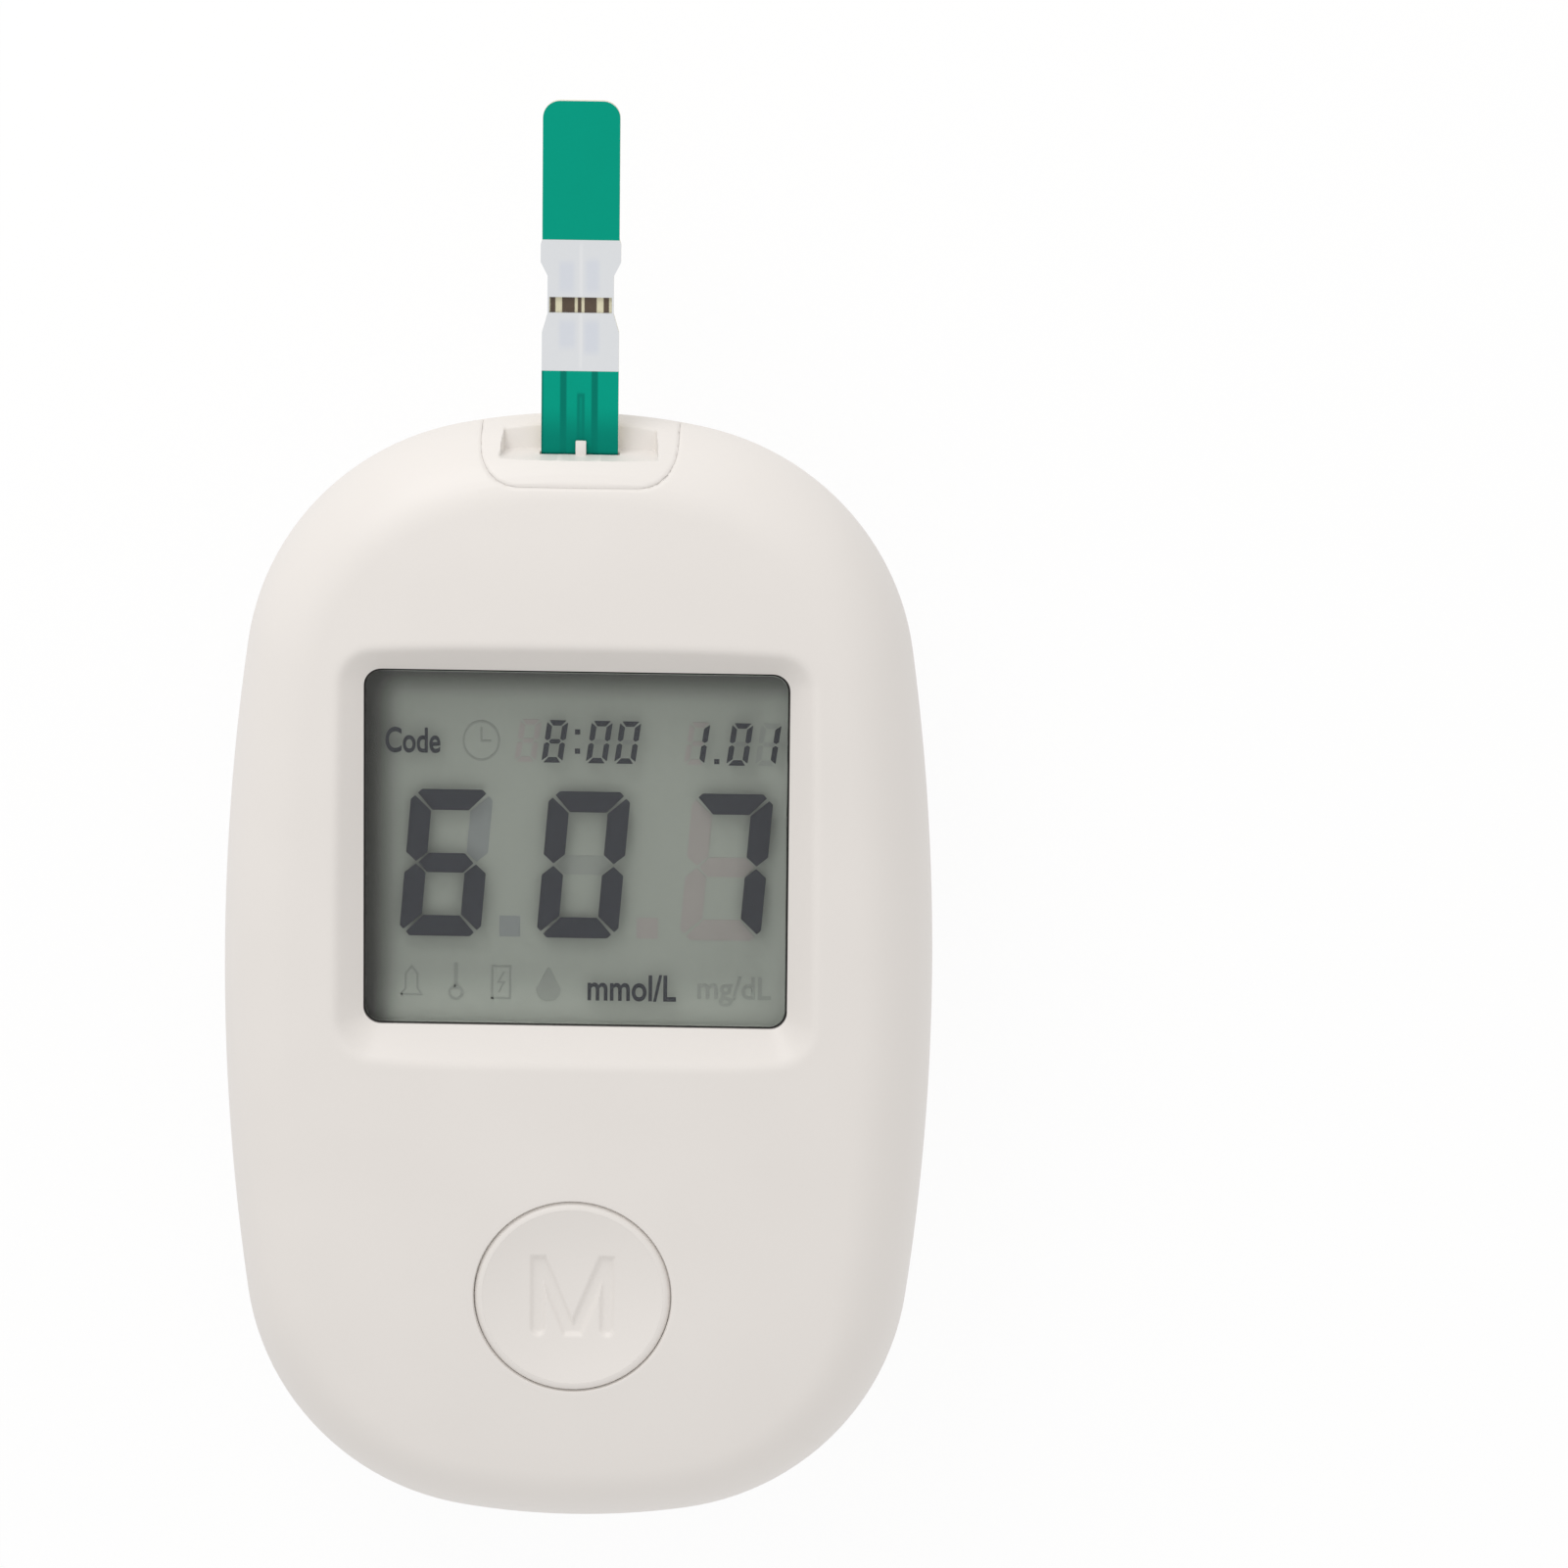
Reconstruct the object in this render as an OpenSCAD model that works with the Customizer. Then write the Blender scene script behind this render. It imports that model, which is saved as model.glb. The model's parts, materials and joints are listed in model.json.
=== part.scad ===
// Blood glucose meter with a test strip in its port, lying on its back.
// Lengths are in millimetres. +Z leaves the display side and +Y points to the strip end.
// The origin is the centre of the flat rest face on the back.

/* [Casing outline] */
// Width of the casing at its widest line
body_width = 54.5; // [50:0.5:60]
// Length of the casing from end to end
body_length = 87.45; // [82:0.05:92]
// How far the widest line lies towards the strip end from the middle
widest_y = -0.48; // [-2:0.01:2]
// Radius of the long side curves in plan
side_radius = 185.65; // [150:0.05:230]
// Radius of the strip end in plan
top_end_radius = 45.58; // [38:0.02:55]
// Radius of the two corners at the strip end
top_corner_radius = 20.44; // [19:0.01:22]
// Radius of the button end in plan
bottom_end_radius = 55.53; // [46:0.01:65]
// Radius of the two corners at the button end
bottom_corner_radius = 20.11; // [19:0.01:22]

/* [Casing heights] */
// Height of the parting line between the two covers
parting_height = 12.7; // [12.7:0.05:14]
// Width of the rounded front edge in plan
edge_inset = 6.0; // [5:0.1:7]
// Height of the rounded front edge
edge_rise = 7.9; // [7.6:0.05:8.6]
// Slope at which the domed face starts, as rise over run
dome_slope = 0.133; // [0.12:0.001:0.16]
// Distance from the outline at which the domed face is level
dome_reach = 18; // [15:0.5:18.5]
// Step from the front cover in to the rear cover at the parting line
rear_step = 0.3; // [0:0.05:0.4]
// How far the rear cover draws in for each millimetre of height
rear_taper = 0.35; // [0.3:0.01:0.38]
// Height at which the rounding to the rest face starts
foot_height = 4; // [3:0.1:5]
// Distance from the outline to the edge of the rest face
foot_inset = 8.5; // [8:0.1:9]

/* [Walls] */
// Side wall of the front cover
front_wall = 1.7; // [1.4:0.05:1.8]
// Thickness of the front cover's face
face_skin = 1.6; // [1.3:0.05:1.7]
// Width of the rounded edge inside the front cover
inner_edge_inset = 4.8; // [4:0.1:5]
// Side wall of the rear cover, with the lip
rear_wall = 2.4; // [2.2:0.05:2.5]
// Floor of the rear cover
rear_floor = 1.8; // [1.7:0.05:2]
// Height of the lip that centres the front cover
lip_height = 0.8; // [0.4:0.05:0.85]
// Clearance between the lip and the front cover
lip_gap = 0.15; // [0.1:0.05:0.25]

/* [Display window] */
// Width of the window opening
window_width = 32.43; // [29:0.01:33]
// Height of the window opening
window_height = 27.97; // [25:0.01:29]
// Distance from the strip end of the casing to the window's middle
window_setback = 32.705; // [32.2:0.005:33.7]
// Corner radius of the window opening
window_corner = 1.35; // [1:0.05:2]
// Height of the window's lower edge over the rest face
window_z = 19.2; // [19.1:0.05:19.3]
// Outward slope of the bevel at the left and right
bevel_side_slope = 1.24; // [1:0.01:1.4]
// Outward slope of the bevel towards the strip end
bevel_top_slope = 1.05; // [0.9:0.01:1.2]
// Outward slope of the bevel towards the button end
bevel_bottom_slope = 1.17; // [1:0.01:1.3]
// Extra corner radius of the bevel at the face
bevel_corner_gain = 1.8; // [1:0.1:2.5]
// Thickness of the cover's edge round the window
window_edge = 0.6; // [0.5:0.05:0.8]
// Width of the flange round the lens
lens_flange = 2.1; // [1.6:0.1:2.2]
// Thickness of the lens flange
lens_flange_thickness = 0.55; // [0.4:0.05:0.65]
// Thickness of the adhesive on the lens flange
adhesive_thickness = 0.15; // [0.1:0.05:0.2]
// Width of the adhesive ring
adhesive_width = 1.5; // [1:0.1:1.6]
// Gap between the lens and the window's edge
lens_gap = 0.1; // [0.05:0.01:0.15]
// Wall round the lens pocket
pocket_wall = 1.1; // [0.8:0.1:1.2]
// Thickness of the foam ring behind the lens
gasket_thickness = 0.3; // [0.2:0.05:0.4]

/* [Button] */
// Distance from the button end of the casing to the button's middle
button_setback = 19.775; // [19.2:0.005:20.2]
// Radius of the button hole
button_hole_radius = 7.65; // [7:0.05:8]
// Gap between the button and its hole
button_gap = 0.3; // [0.2:0.05:0.4]
// How far the button's rim lies below the domed face
button_drop = 0.25; // [0.1:0.05:0.5]
// Width of the rounded rim of the button
button_rim = 0.9; // [0.6:0.1:1.2]
// Depth of the dish in the button
dish_depth = 0.75; // [0.5:0.05:0.9]
// Travel of the button
button_travel = 0.8; // [0.5:0.05:0.8]
// Width of the flange that holds the button in
button_flange = 1.2; // [0.8:0.1:1.3]
// Thickness of the button's flange
button_flange_thickness = 0.8; // [0.6:0.1:0.8]
// Width of the silicone dome's skirt on the board
dome_skirt = 3.3; // [2.8:0.1:3.5]
// Wall of the silicone dome
dome_wall = 0.6; // [0.5:0.05:0.7]
// Wall of the collar round the button hole
collar_wall = 1.9; // [1.5:0.1:2]
// Width of the strokes of the mark in the dish
mark_stroke = 0.93; // [0.7:0.01:1.1]
// Width of the mark over its strokes
mark_width = 6.25; // [5:0.05:6.6]
// Height of the mark over its strokes
mark_height = 6.4; // [5:0.05:6.6]
// Depth of the mark below the dish
mark_depth = 0.2; // [0.1:0.05:0.3]

/* [Strip port] */
// Width of the insert round the port
bezel_width = 15; // [14:0.1:16]
// Distance from the strip end of the casing to the insert's seam
bezel_reach = 4.245; // [4.1:0.005:4.4]
// Corner radius of the insert's seam
bezel_corner = 2.9; // [2:0.1:3.5]
// Width of the seam
seam = 0.06; // [0.04:0.01:0.1]
// Distance from the strip end of the casing to the wall that the strip comes out of
port_wall_depth = 2.475; // [2.3:0.005:2.6]
// Height at which the port's wall turns into its ramp
ramp_top_z = 16.55; // [16.3:0.05:16.6]
// Height at which the ramp meets the end of the casing
ramp_low_z = 13.9; // [13.6:0.05:14.2]
// Width of the scoop in the insert
scoop_width = 11.64; // [11:0.02:12]
// Width of the slanted cheek at each side of the scoop
scoop_cheek = 1.1; // [0.8:0.1:1.4]
// Clearance on each side of the strip in its slot
slot_side_gap = 0.42; // [0.3:0.02:0.5]
// Clearance over and under the strip in its slot
slot_gap = 0.15; // [0.12:0.01:0.2]
// Length of the guide tab over the strip
tab_length = 1.25; // [0.8:0.05:1.4]
// Width of the guide tab
tab_width = 0.8; // [0.6:0.05:1]

/* [Test strip] */
// Width of the test strip
strip_width = 5.82; // [5.4:0.02:6]
// Width of the strip at its waist
strip_waist = 5; // [4.8:0.05:5.2]
// Width of the strip just outside its waist
strip_bulge = 6.06; // [6:0.02:6.2]
// Length of the strip outside the port's wall
strip_reach = 27.27; // [25:0.01:29]
// Corner radius at the strip's outer end
strip_corner = 1.3; // [0.8:0.1:1.6]
// How deep the strip goes in behind the port's wall
strip_insertion = 6.75; // [6.6:0.05:6.8]
// Height of the strip's upper face
strip_top_z = 16.9; // [16.8:0.05:16.95]
// Thickness of the strip's base film
strip_base_thickness = 0.3; // [0.2:0.05:0.35]
// Thickness of the strip's conductors
electrode_thickness = 0.05; // [0.03:0.01:0.06]
// Thickness of the spacer film
spacer_thickness = 0.15; // [0.1:0.01:0.2]
// Thickness of the printed cover film
film_thickness = 0.1; // [0.08:0.01:0.12]
// Length of the coloured grip at the outer end
grip_length = 10.61; // [9:0.01:12]
// Length of the white field next to the grip
white_length = 10.1; // [9.4:0.01:11]
// Length of bare conductors at the inner end
bare_length = 3.6; // [3:0.1:4]

/* [Display] */
// Thickness of each display glass
glass_thickness = 0.9; // [0.7:0.05:0.9]
// Width of the display glass
lcd_width = 36.2; // [35:0.1:36.4]
// Height of the front display glass
lcd_height = 34.8; // [34:0.1:35]
// Width of the contact ledge at each end of the display glass
lcd_ledge = 2; // [1.6:0.1:2.2]
// Thickness of the polarising film
polarizer_thickness = 0.2; // [0.15:0.05:0.25]
// Thickness of the reflector film
reflector_thickness = 0.2; // [0.15:0.05:0.25]
// Wall of the frame that holds the display
lcd_frame_wall = 1; // [0.8:0.1:1.1]
// Clearance of the display glass in its frame
lcd_gap = 0.1; // [0.05:0.05:0.2]
// Thickness of each rubber connector
elastomer_thickness = 1.2; // [1:0.1:1.4]

/* [Board] */
// Height of the board's lower face
board_z = 13.6; // [13.55:0.01:13.65]
// Thickness of the board
board_thickness = 1.2; // [0.8:0.1:1.2]
// Distance from the outline to the board's edge
board_inset = 3; // [2.9:0.05:3.4]
// Height of the strip connector's roof over the rest face
connector_top_z = 18.05; // [17.9:0.05:18.2]
// Width of the strip connector
connector_width = 9.6; // [9:0.1:10.4]
// Length of the strip connector
connector_length = 6.6; // [6.4:0.1:7]
// Width of each contact leaf
leaf_width = 0.6; // [0.4:0.05:0.7]
// Number of contact leaves
leaf_count = 5; // [3:1:5]
// Pitch of the contact leaves and the strip's conductors
leaf_pitch = 1.05; // [0.95:0.01:1.1]
// Radius of the buzzer
buzzer_radius = 4.8; // [4:0.1:5]
// Height of the buzzer
buzzer_height = 3; // [2:0.1:4]
// Length of the large chip
processor_length = 8; // [7:0.1:8.5]
// Width of the large chip
processor_width = 7; // [6:0.1:7]
// Length of the two small chips
chip_length = 5; // [4:0.1:5]
// Width of the two small chips
chip_width = 3.8; // [3:0.1:3.8]
// Height of the chips
chip_height = 1.2; // [0.9:0.05:1.4]
// Pitch of the chips' pins
pin_pitch = 0.8; // [0.65:0.05:0.85]
// Length of the clock crystal
crystal_length = 6; // [5:0.1:6.5]
// Radius of the clock crystal
crystal_radius = 0.9; // [0.7:0.05:1]
// Number of small components in a row
chip_rows = 5; // [3:1:6]
// Length of a small component
resistor_length = 1.6; // [1:0.1:1.8]
// Width and height of a small component
resistor_width = 0.8; // [0.5:0.05:0.9]

/* [Power] */
// Radius of each cell
cell_radius = 5.25; // [5:0.05:5.25]
// Length of a cell over its nub
cell_length = 44.5; // [43.3:0.1:44.5]
// Length of the nub on a cell
nub_length = 1; // [0.8:0.1:1.2]
// Radius of the nub on a cell
nub_radius = 1.9; // [1.5:0.1:2.2]
// Gap between the two cells
cell_spacing = 0.7; // [0.5:0.1:0.9]
// Clearance beside and over the cells
cell_clearance = 0.3; // [0.2:0.05:0.35]
// Room for the spring at the flat end of a cell
spring_length = 4.4; // [4:0.1:5]
// Thickness of the contact plates
plate_thickness = 0.3; // [0.2:0.05:0.4]
// Half of the contact plates' width and height
plate_reach = 4.25; // [3.9:0.05:4.6]
// Outer radius of a battery spring at its plate
spring_foot_radius = 3.7; // [3.3:0.1:4]
// Outer radius of a battery spring at the cell
spring_tip_radius = 2.3; // [2:0.1:2.8]
// Wall of a battery spring
spring_wire = 0.7; // [0.5:0.05:0.8]
// Distance from the button end of the casing to the bay
bay_setback = 12.725; // [12.7:0.005:13.2]
// Thickness of the bay's end wall at the button end
bay_wall = 1; // [0.8:0.1:1]
// Thickness of the bay's side walls
bay_side_wall = 1.8; // [1.6:0.1:1.9]
// Thickness of the bay's ceiling
bay_ceiling = 0.65; // [0.5:0.05:0.7]

/* [Battery door] */
// Thickness of the battery door
door_thickness = 1.6; // [1.4:0.05:1.65]
// Half of the battery door's width
door_half_width = 12; // [11.8:0.05:12.2]
// Gap round the battery door
door_gap = 0.15; // [0.1:0.05:0.2]
// Distance from the bay's inner wall to the door's hinge line
hinge_setback = 1; // [0.8:0.1:1.2]
// Radius of the door's hinge pins
hinge_pin_radius = 0.5; // [0.4:0.05:0.5]
// Length of each hinge pin
hinge_pin_length = 1.2; // [0.8:0.1:1.2]
// Half of the width of the door's latch tongue
latch_half_width = 5; // [4.5:0.1:5.5]
// Length of the latch tongue
latch_length = 2.4; // [2.3:0.05:2.4]
// Height of the latch finger
latch_height = 3.4; // [3:0.1:4]
// Length of the blank plate on the door
plate_length = 13; // [10:0.1:14]
// Half of the blank plate's width
plate_half = 9; // [7:0.1:10]
// Distance from the bay's inner wall to the blank plate
plate_setback = 3.6; // [3:0.1:5]
// Number of finger grooves in the door
groove_count = 3; // [2:1:4]

/* [Fasteners] */
// Radius of the posts that take the case screws
post_radius = 2.8; // [2.6:0.1:2.8]
// Radius of a case screw's shank
screw_radius = 0.95; // [0.8:0.05:1]
// Radius of a case screw's head
screw_head_radius = 1.8; // [1.6:0.05:1.9]
// Height of a case screw's head
screw_head_height = 1.4; // [1.1:0.1:1.6]
// Height at which the case screws' heads seat
screw_seat_z = 5; // [4.5:0.1:6]
// Length of a case screw's shank
screw_length = 12; // [10:0.5:13]
// Radius of the front cover's bosses
boss_radius = 2.4; // [2.1:0.1:2.5]
// Distance from the strip end to the case screws there
top_screw_setback = 11.725; // [11.4:0.005:12]
// Distance from the casing's side to the case screws at the strip end
top_screw_margin = 14.75; // [14.5:0.05:15.2]
// Distance from the button end to the case screws there
low_screw_setback = 14.725; // [14.2:0.005:15]
// Distance from the casing's side to the case screws at the button end
low_screw_margin = 10.75; // [10.3:0.05:11]
// Distance from the casing's side to the board screws
board_screw_margin = 8.75; // [8.4:0.05:9]
// Radius of a board screw's shank
board_screw_radius = 0.75; // [0.6:0.05:0.8]
// Radius of a board screw's head
board_screw_head = 1.6; // [1.4:0.05:1.8]

/* [Hidden] */
$fn = 64;
side_steps = 3;
corner_steps = 9;
end_steps = 4;
through = 40;
joined = 0.01;
loose = 0.05;

// places along the casing
end_y = body_length / 2;
window_y = end_y - window_setback;
button_y = button_setback - end_y;
bezel_y = end_y - bezel_reach;
port_wall_y = end_y - port_wall_depth;
strip_end_y = port_wall_y + strip_reach;
bay_low_y = bay_setback - end_y;

// heights of the domed face
edge_end_angle = atan(edge_rise / (edge_inset * dome_slope));
edge_end_inset = edge_inset * (1 - cos(edge_end_angle));
edge_end_z = parting_height + edge_rise * sin(edge_end_angle);
body_height = edge_end_z + dome_slope * (dome_reach - edge_end_inset) / 2;
inner_rise = edge_rise - face_skin;
inner_end_angle = atan(inner_rise / (inner_edge_inset * dome_slope));
inner_end_inset = front_wall + inner_edge_inset * (1 - cos(inner_end_angle));
inner_end_z = parting_height + inner_rise * sin(inner_end_angle);
inner_height = inner_end_z + dome_slope * (dome_reach - inner_end_inset) / 2;

// rear cover
foot_start = rear_step + rear_taper * (parting_height - foot_height);
foot_corner = foot_start + rear_taper * foot_height;
rear_inset = rear_step + rear_wall;

// display, from the lens down
lens_top = window_z - loose;
pocket_top = window_z - window_edge;
flange_top = pocket_top - adhesive_thickness;
lens_bottom = flange_top - lens_flange_thickness;
polarizer_top = lens_bottom - gasket_thickness;
front_glass_top = polarizer_top - polarizer_thickness;
rear_glass_top = front_glass_top - glass_thickness;
reflector_top = rear_glass_top - glass_thickness;
board_top = board_z + board_thickness;
pocket_side = window_width / 2 + lens_flange + 2 * lens_gap;
pocket_end = window_height / 2 + lens_flange + 2 * lens_gap;
frame_side = lcd_width / 2 + lcd_gap;
frame_end = lcd_height / 2 + lcd_gap;

// button
button_radius = button_hole_radius - button_gap;
button_top = body_height - button_drop;
button_base = pocket_top - loose - button_flange_thickness;
stem_radius = 2.2;
stem_base = button_base - 0.5;
dish_chord = button_radius - button_rim;
dish_radius = (dish_chord * dish_chord + dish_depth * dish_depth) / (2 * dish_depth);
pill_height = stem_base - dome_wall - board_z - board_thickness - button_travel - loose;

// strip
strip_low_y = port_wall_y - strip_insertion;
electrode_z = strip_top_z - film_thickness - spacer_thickness - electrode_thickness;
strip_base_z = electrode_z - strip_base_thickness;
grip_y = strip_end_y - grip_length;
white_y = grip_y - white_length;
bulge_y = grip_y - 1.73;
waist_high_y = grip_y - 2.78;
waist_low_y = grip_y - 5.72;
neck_y = grip_y - 7.16;
bar_low_y = grip_y - 5.63;
bar_high_y = grip_y - 4.41;
bar_half = 2.37;
bezel_block_y = port_wall_y - 1.25;
connector_y = bezel_block_y - 0.3;

// battery bay
bay_high_y = bay_low_y + 2 * plate_thickness + spring_length + cell_length + 0.1;
cell_z = door_thickness + loose + 0.2 + cell_radius;
cell_x = cell_radius + cell_spacing / 2;
bay_half = cell_x + cell_radius + cell_clearance;
bay_top = cell_z + cell_radius + 0.2;
door_recess = door_half_width + door_gap;
hinge_y = bay_high_y + hinge_setback;
hinge_z = door_thickness / 2;
recess_high_y = hinge_y + hinge_z + door_gap;
door_low_y = bay_low_y - bay_wall;
latch_y = door_low_y - latch_length;
finger_y = latch_y + 1;
finger_thickness = 0.8;
catch_radius = 0.4;
catch_z = 2.6;
block_half = max(door_recess + 0.85, bay_half + bay_side_wall);
block_high_y = recess_high_y + 0.8;

// parts on the board
column_x = stem_radius + 0.3 + dome_skirt + resistor_length;
chip_x = button_radius + processor_width / 2 + 0.8;
chip_y = button_y + 5.5;
buzzer_y = block_high_y + buzzer_radius + 0.5;

// screws: x and y of the case screws and of the board screws
top_screw_x = body_width / 2 - top_screw_margin;
low_screw_x = body_width / 2 - low_screw_margin;
case_screw_places = [for (side = [-1, 1], up = [true, false])
    up ? [side * top_screw_x, end_y - top_screw_setback]
       : [side * low_screw_x, low_screw_setback - end_y]];
board_screw_x = body_width / 2 - board_screw_margin;
board_screw_y = window_y - frame_end - lcd_frame_wall - boss_radius - 3.6;
board_screw_places = [for (side = [-1, 1]) [side * board_screw_x, board_screw_y]];
boss_top = inner_height + 0.3;

// blank plate on the door
plate_high_y = bay_high_y - plate_setback;
plate_low_y = plate_high_y - plate_length;
plate_depth = 0.15;

// plan outline -------------------------------------------------------------

function arc(centre, r, a0, a1, steps) =
    [for (i = [0:steps - 1]) centre + r * [cos(a0 + (a1 - a0) * i / steps),
                                           sin(a0 + (a1 - a0) * i / steps)]];

// centre of the corner arc that touches the side arc and the end arc
function corner_centre(s, e, a, b) =
    let (span = norm(e - s), k = (a * a - b * b + span * span) / (2 * span))
    let (along = (e - s) / span, h = sqrt(a * a - k * k))
    s + along * k + [-along.y, along.x] * h;

// a quarter of the outline, from the widest line to just before the end
function quarter(corner_r, end_r, reach, inset) =
    let (s = [body_width / 2 - side_radius, 0], e = [0, reach - end_r])
    let (c = corner_centre(s, e, side_radius - corner_r, end_r - corner_r))
    let (t1 = atan2(c.y - s.y, c.x - s.x), t2 = atan2(c.y - e.y, c.x - e.x))
    concat(arc(s, side_radius - inset, 0, t1, side_steps),
           arc(c, corner_r - inset, t1, t2, corner_steps),
           arc(e, end_r - inset, t2, 90, end_steps));

function outline(inset) =
    let (up = body_length / 2 - widest_y, down = body_length / 2 + widest_y)
    let (q = quarter(top_corner_radius, top_end_radius, up, inset))
    let (p = quarter(bottom_corner_radius, bottom_end_radius, down, inset))
    concat([for (a = q) [a.x, widest_y + a.y]],
           [[0, widest_y + up - inset]],
           [for (i = [len(q) - 1:-1:1]) [-q[i].x, widest_y + q[i].y]],
           [for (a = p) [-a.x, widest_y - a.y]],
           [[0, widest_y - down + inset]],
           [for (i = [len(p) - 1:-1:1]) [p[i].x, widest_y - p[i].y]]);

function ring(inset, z) = [for (a = outline(inset)) [a.x, a.y, z]];

function rounded(x0, x1, y0, y1, r, z) =
    [for (k = [0:3], i = [0:6])
        let (cx = (k == 0 || k == 3) ? x1 - r : x0 + r, cy = k < 2 ? y1 - r : y0 + r)
        [cx + r * cos(90 * k + 15 * i), cy + r * sin(90 * k + 15 * i), z]];

// closed solid through rings of equally many points, counter-clockwise from the far end
module loft(rings) {
    n = len(rings[0]);
    polyhedron(
        points = [for (r = rings) each r],
        faces = concat(
            [[for (i = [0:n - 1]) i]],
            [for (k = [0:len(rings) - 2], i = [0:n - 1])
                [k * n + i, k * n + n + i, k * n + n + (i + 1) % n, k * n + (i + 1) % n]],
            [[for (i = [n - 1:-1:0]) (len(rings) - 1) * n + i]]));
}

module box(x0, x1, y0, y1, z0, z1) {
    translate([x0, y0, z0])
        cube([x1 - x0, y1 - y0, z1 - z0]);
}

module post(place, r, z0, z1) {
    translate([place.x, place.y, z0])
        cylinder(r = r, h = z1 - z0);
}

// casing -------------------------------------------------------------------

module front_outside() {
    loft(concat(
        [for (i = [0:7])
            let (a = edge_end_angle * i / 7)
            ring(edge_inset * (1 - cos(a)), parting_height + edge_rise * sin(a))],
        [for (i = [1:4])
            let (d = (dome_reach - edge_end_inset) * i / 4)
            let (run = dome_reach - edge_end_inset)
            ring(edge_end_inset + d, edge_end_z + dome_slope * (d - d * d / (2 * run)))]));
}

module front_inside() {
    loft(concat(
        [ring(front_wall, parting_height - 1)],
        [for (i = [0:5])
            let (a = inner_end_angle * i / 5)
            ring(front_wall + inner_edge_inset * (1 - cos(a)),
                 parting_height + inner_rise * sin(a))],
        [ring(dome_reach, inner_height)]));
}

module rear_outside() {
    loft(concat(
        [for (i = [0:5])
            let (t = 1 - i / 5)
            ring((1 - t) * (1 - t) * foot_start + 2 * t * (1 - t) * foot_corner + t * t * foot_inset,
                 (1 - t) * (1 - t) * foot_height)],
        [ring(rear_step, parting_height)]));
}

module rear_inside() {
    loft([
        ring(foot_inset - 0.3, rear_floor),
        ring(foot_start + rear_wall - 0.3, foot_height + 0.8),
        ring(rear_inset, parting_height),
        ring(rear_inset, parting_height + lip_height + 1)]);
}

// outline of the insert in plan, grown by a gap
module bezel_plan(gap) {
    x = bezel_width / 2 + gap;
    r = bezel_corner + gap;
    y = bezel_y - gap;
    translate([0, 0, parting_height - 1])
        linear_extrude(height = through)
            union() {
                translate([-x, y + r])
                    square([2 * x, through]);
                translate([-x + r, y])
                    square([2 * (x - r), r + 1]);
                for (side = [-1, 1])
                    translate([side * (x - r), y + r])
                        circle(r = r);
            }
}

module window_cut() {
    rise = through / 10;
    x = window_width / 2;
    y0 = window_y - window_height / 2;
    y1 = window_y + window_height / 2;
    loft([
        rounded(-x, x, y0, y1, window_corner, pocket_top - 1),
        rounded(-x, x, y0, y1, window_corner, window_z),
        rounded(-x - bevel_side_slope * rise, x + bevel_side_slope * rise,
                y0 - bevel_bottom_slope * rise, y1 + bevel_top_slope * rise,
                window_corner + bevel_corner_gain * rise / 2, window_z + rise)]);
}

module front_cover() {
    wall_side = pocket_side + pocket_wall;
    wall_end = pocket_end + pocket_wall;
    color("white")
        difference() {
            union() {
                difference() {
                    front_outside();
                    front_inside();
                }
                box(-wall_side, wall_side, window_y - wall_end, window_y + wall_end,
                    lens_bottom - 0.2, inner_end_z + 0.5);
                post([0, button_y], button_hole_radius + collar_wall, pocket_top, inner_height);
                for (place = case_screw_places)
                    post(place, boss_radius, board_z - 0.1, boss_top);
                for (place = board_screw_places)
                    post(place, boss_radius, board_top, boss_top);
            }
            window_cut();
            box(-pocket_side, pocket_side, window_y - pocket_end, window_y + pocket_end,
                parting_height, pocket_top);
            post([0, button_y], button_hole_radius, parting_height, through);
            bezel_plan(seam);
            for (place = case_screw_places)
                post(place, screw_radius + loose, parting_height, screw_seat_z + screw_length + 1);
            for (place = board_screw_places)
                post(place, board_screw_radius + loose, parting_height, board_top + 3.2);
        }
}

module strip_port_bezel() {
    half = scoop_width / 2;
    flat = half - scoop_cheek;
    color("whitesmoke")
        difference() {
            union() {
                difference() {
                    intersection() {
                        front_outside();
                        bezel_plan(0);
                    }
                    box(-bezel_width, bezel_width, 0, bezel_block_y, parting_height - 1,
                        connector_top_z + 0.3);
                    loft([
                        scoop_section(-half, scoop_cheek),
                        scoop_section(-flat, 0),
                        scoop_section(flat, 0),
                        scoop_section(half, scoop_cheek)]);
                }
                box(-tab_width / 2, tab_width / 2, port_wall_y - joined, port_wall_y + tab_length,
                    strip_top_z + slot_gap, strip_top_z + slot_gap + 0.3);
            }
            box(-strip_width / 2 - slot_side_gap, strip_width / 2 + slot_side_gap,
                bezel_block_y - 1, port_wall_y + 1, strip_base_z - slot_gap,
                strip_top_z + slot_gap);
        }
}

// section of the scoop across the port, drawn out towards the cheeks
function scoop_section(x, out) =
    let (steep = (ramp_top_z - ramp_low_z) / 2.3, run = 3)
    [[x, port_wall_y + out, through], [x, port_wall_y + out, ramp_top_z],
     [x, port_wall_y + out + run, ramp_top_z - steep * run], [x, port_wall_y + out + run, through]];

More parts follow.
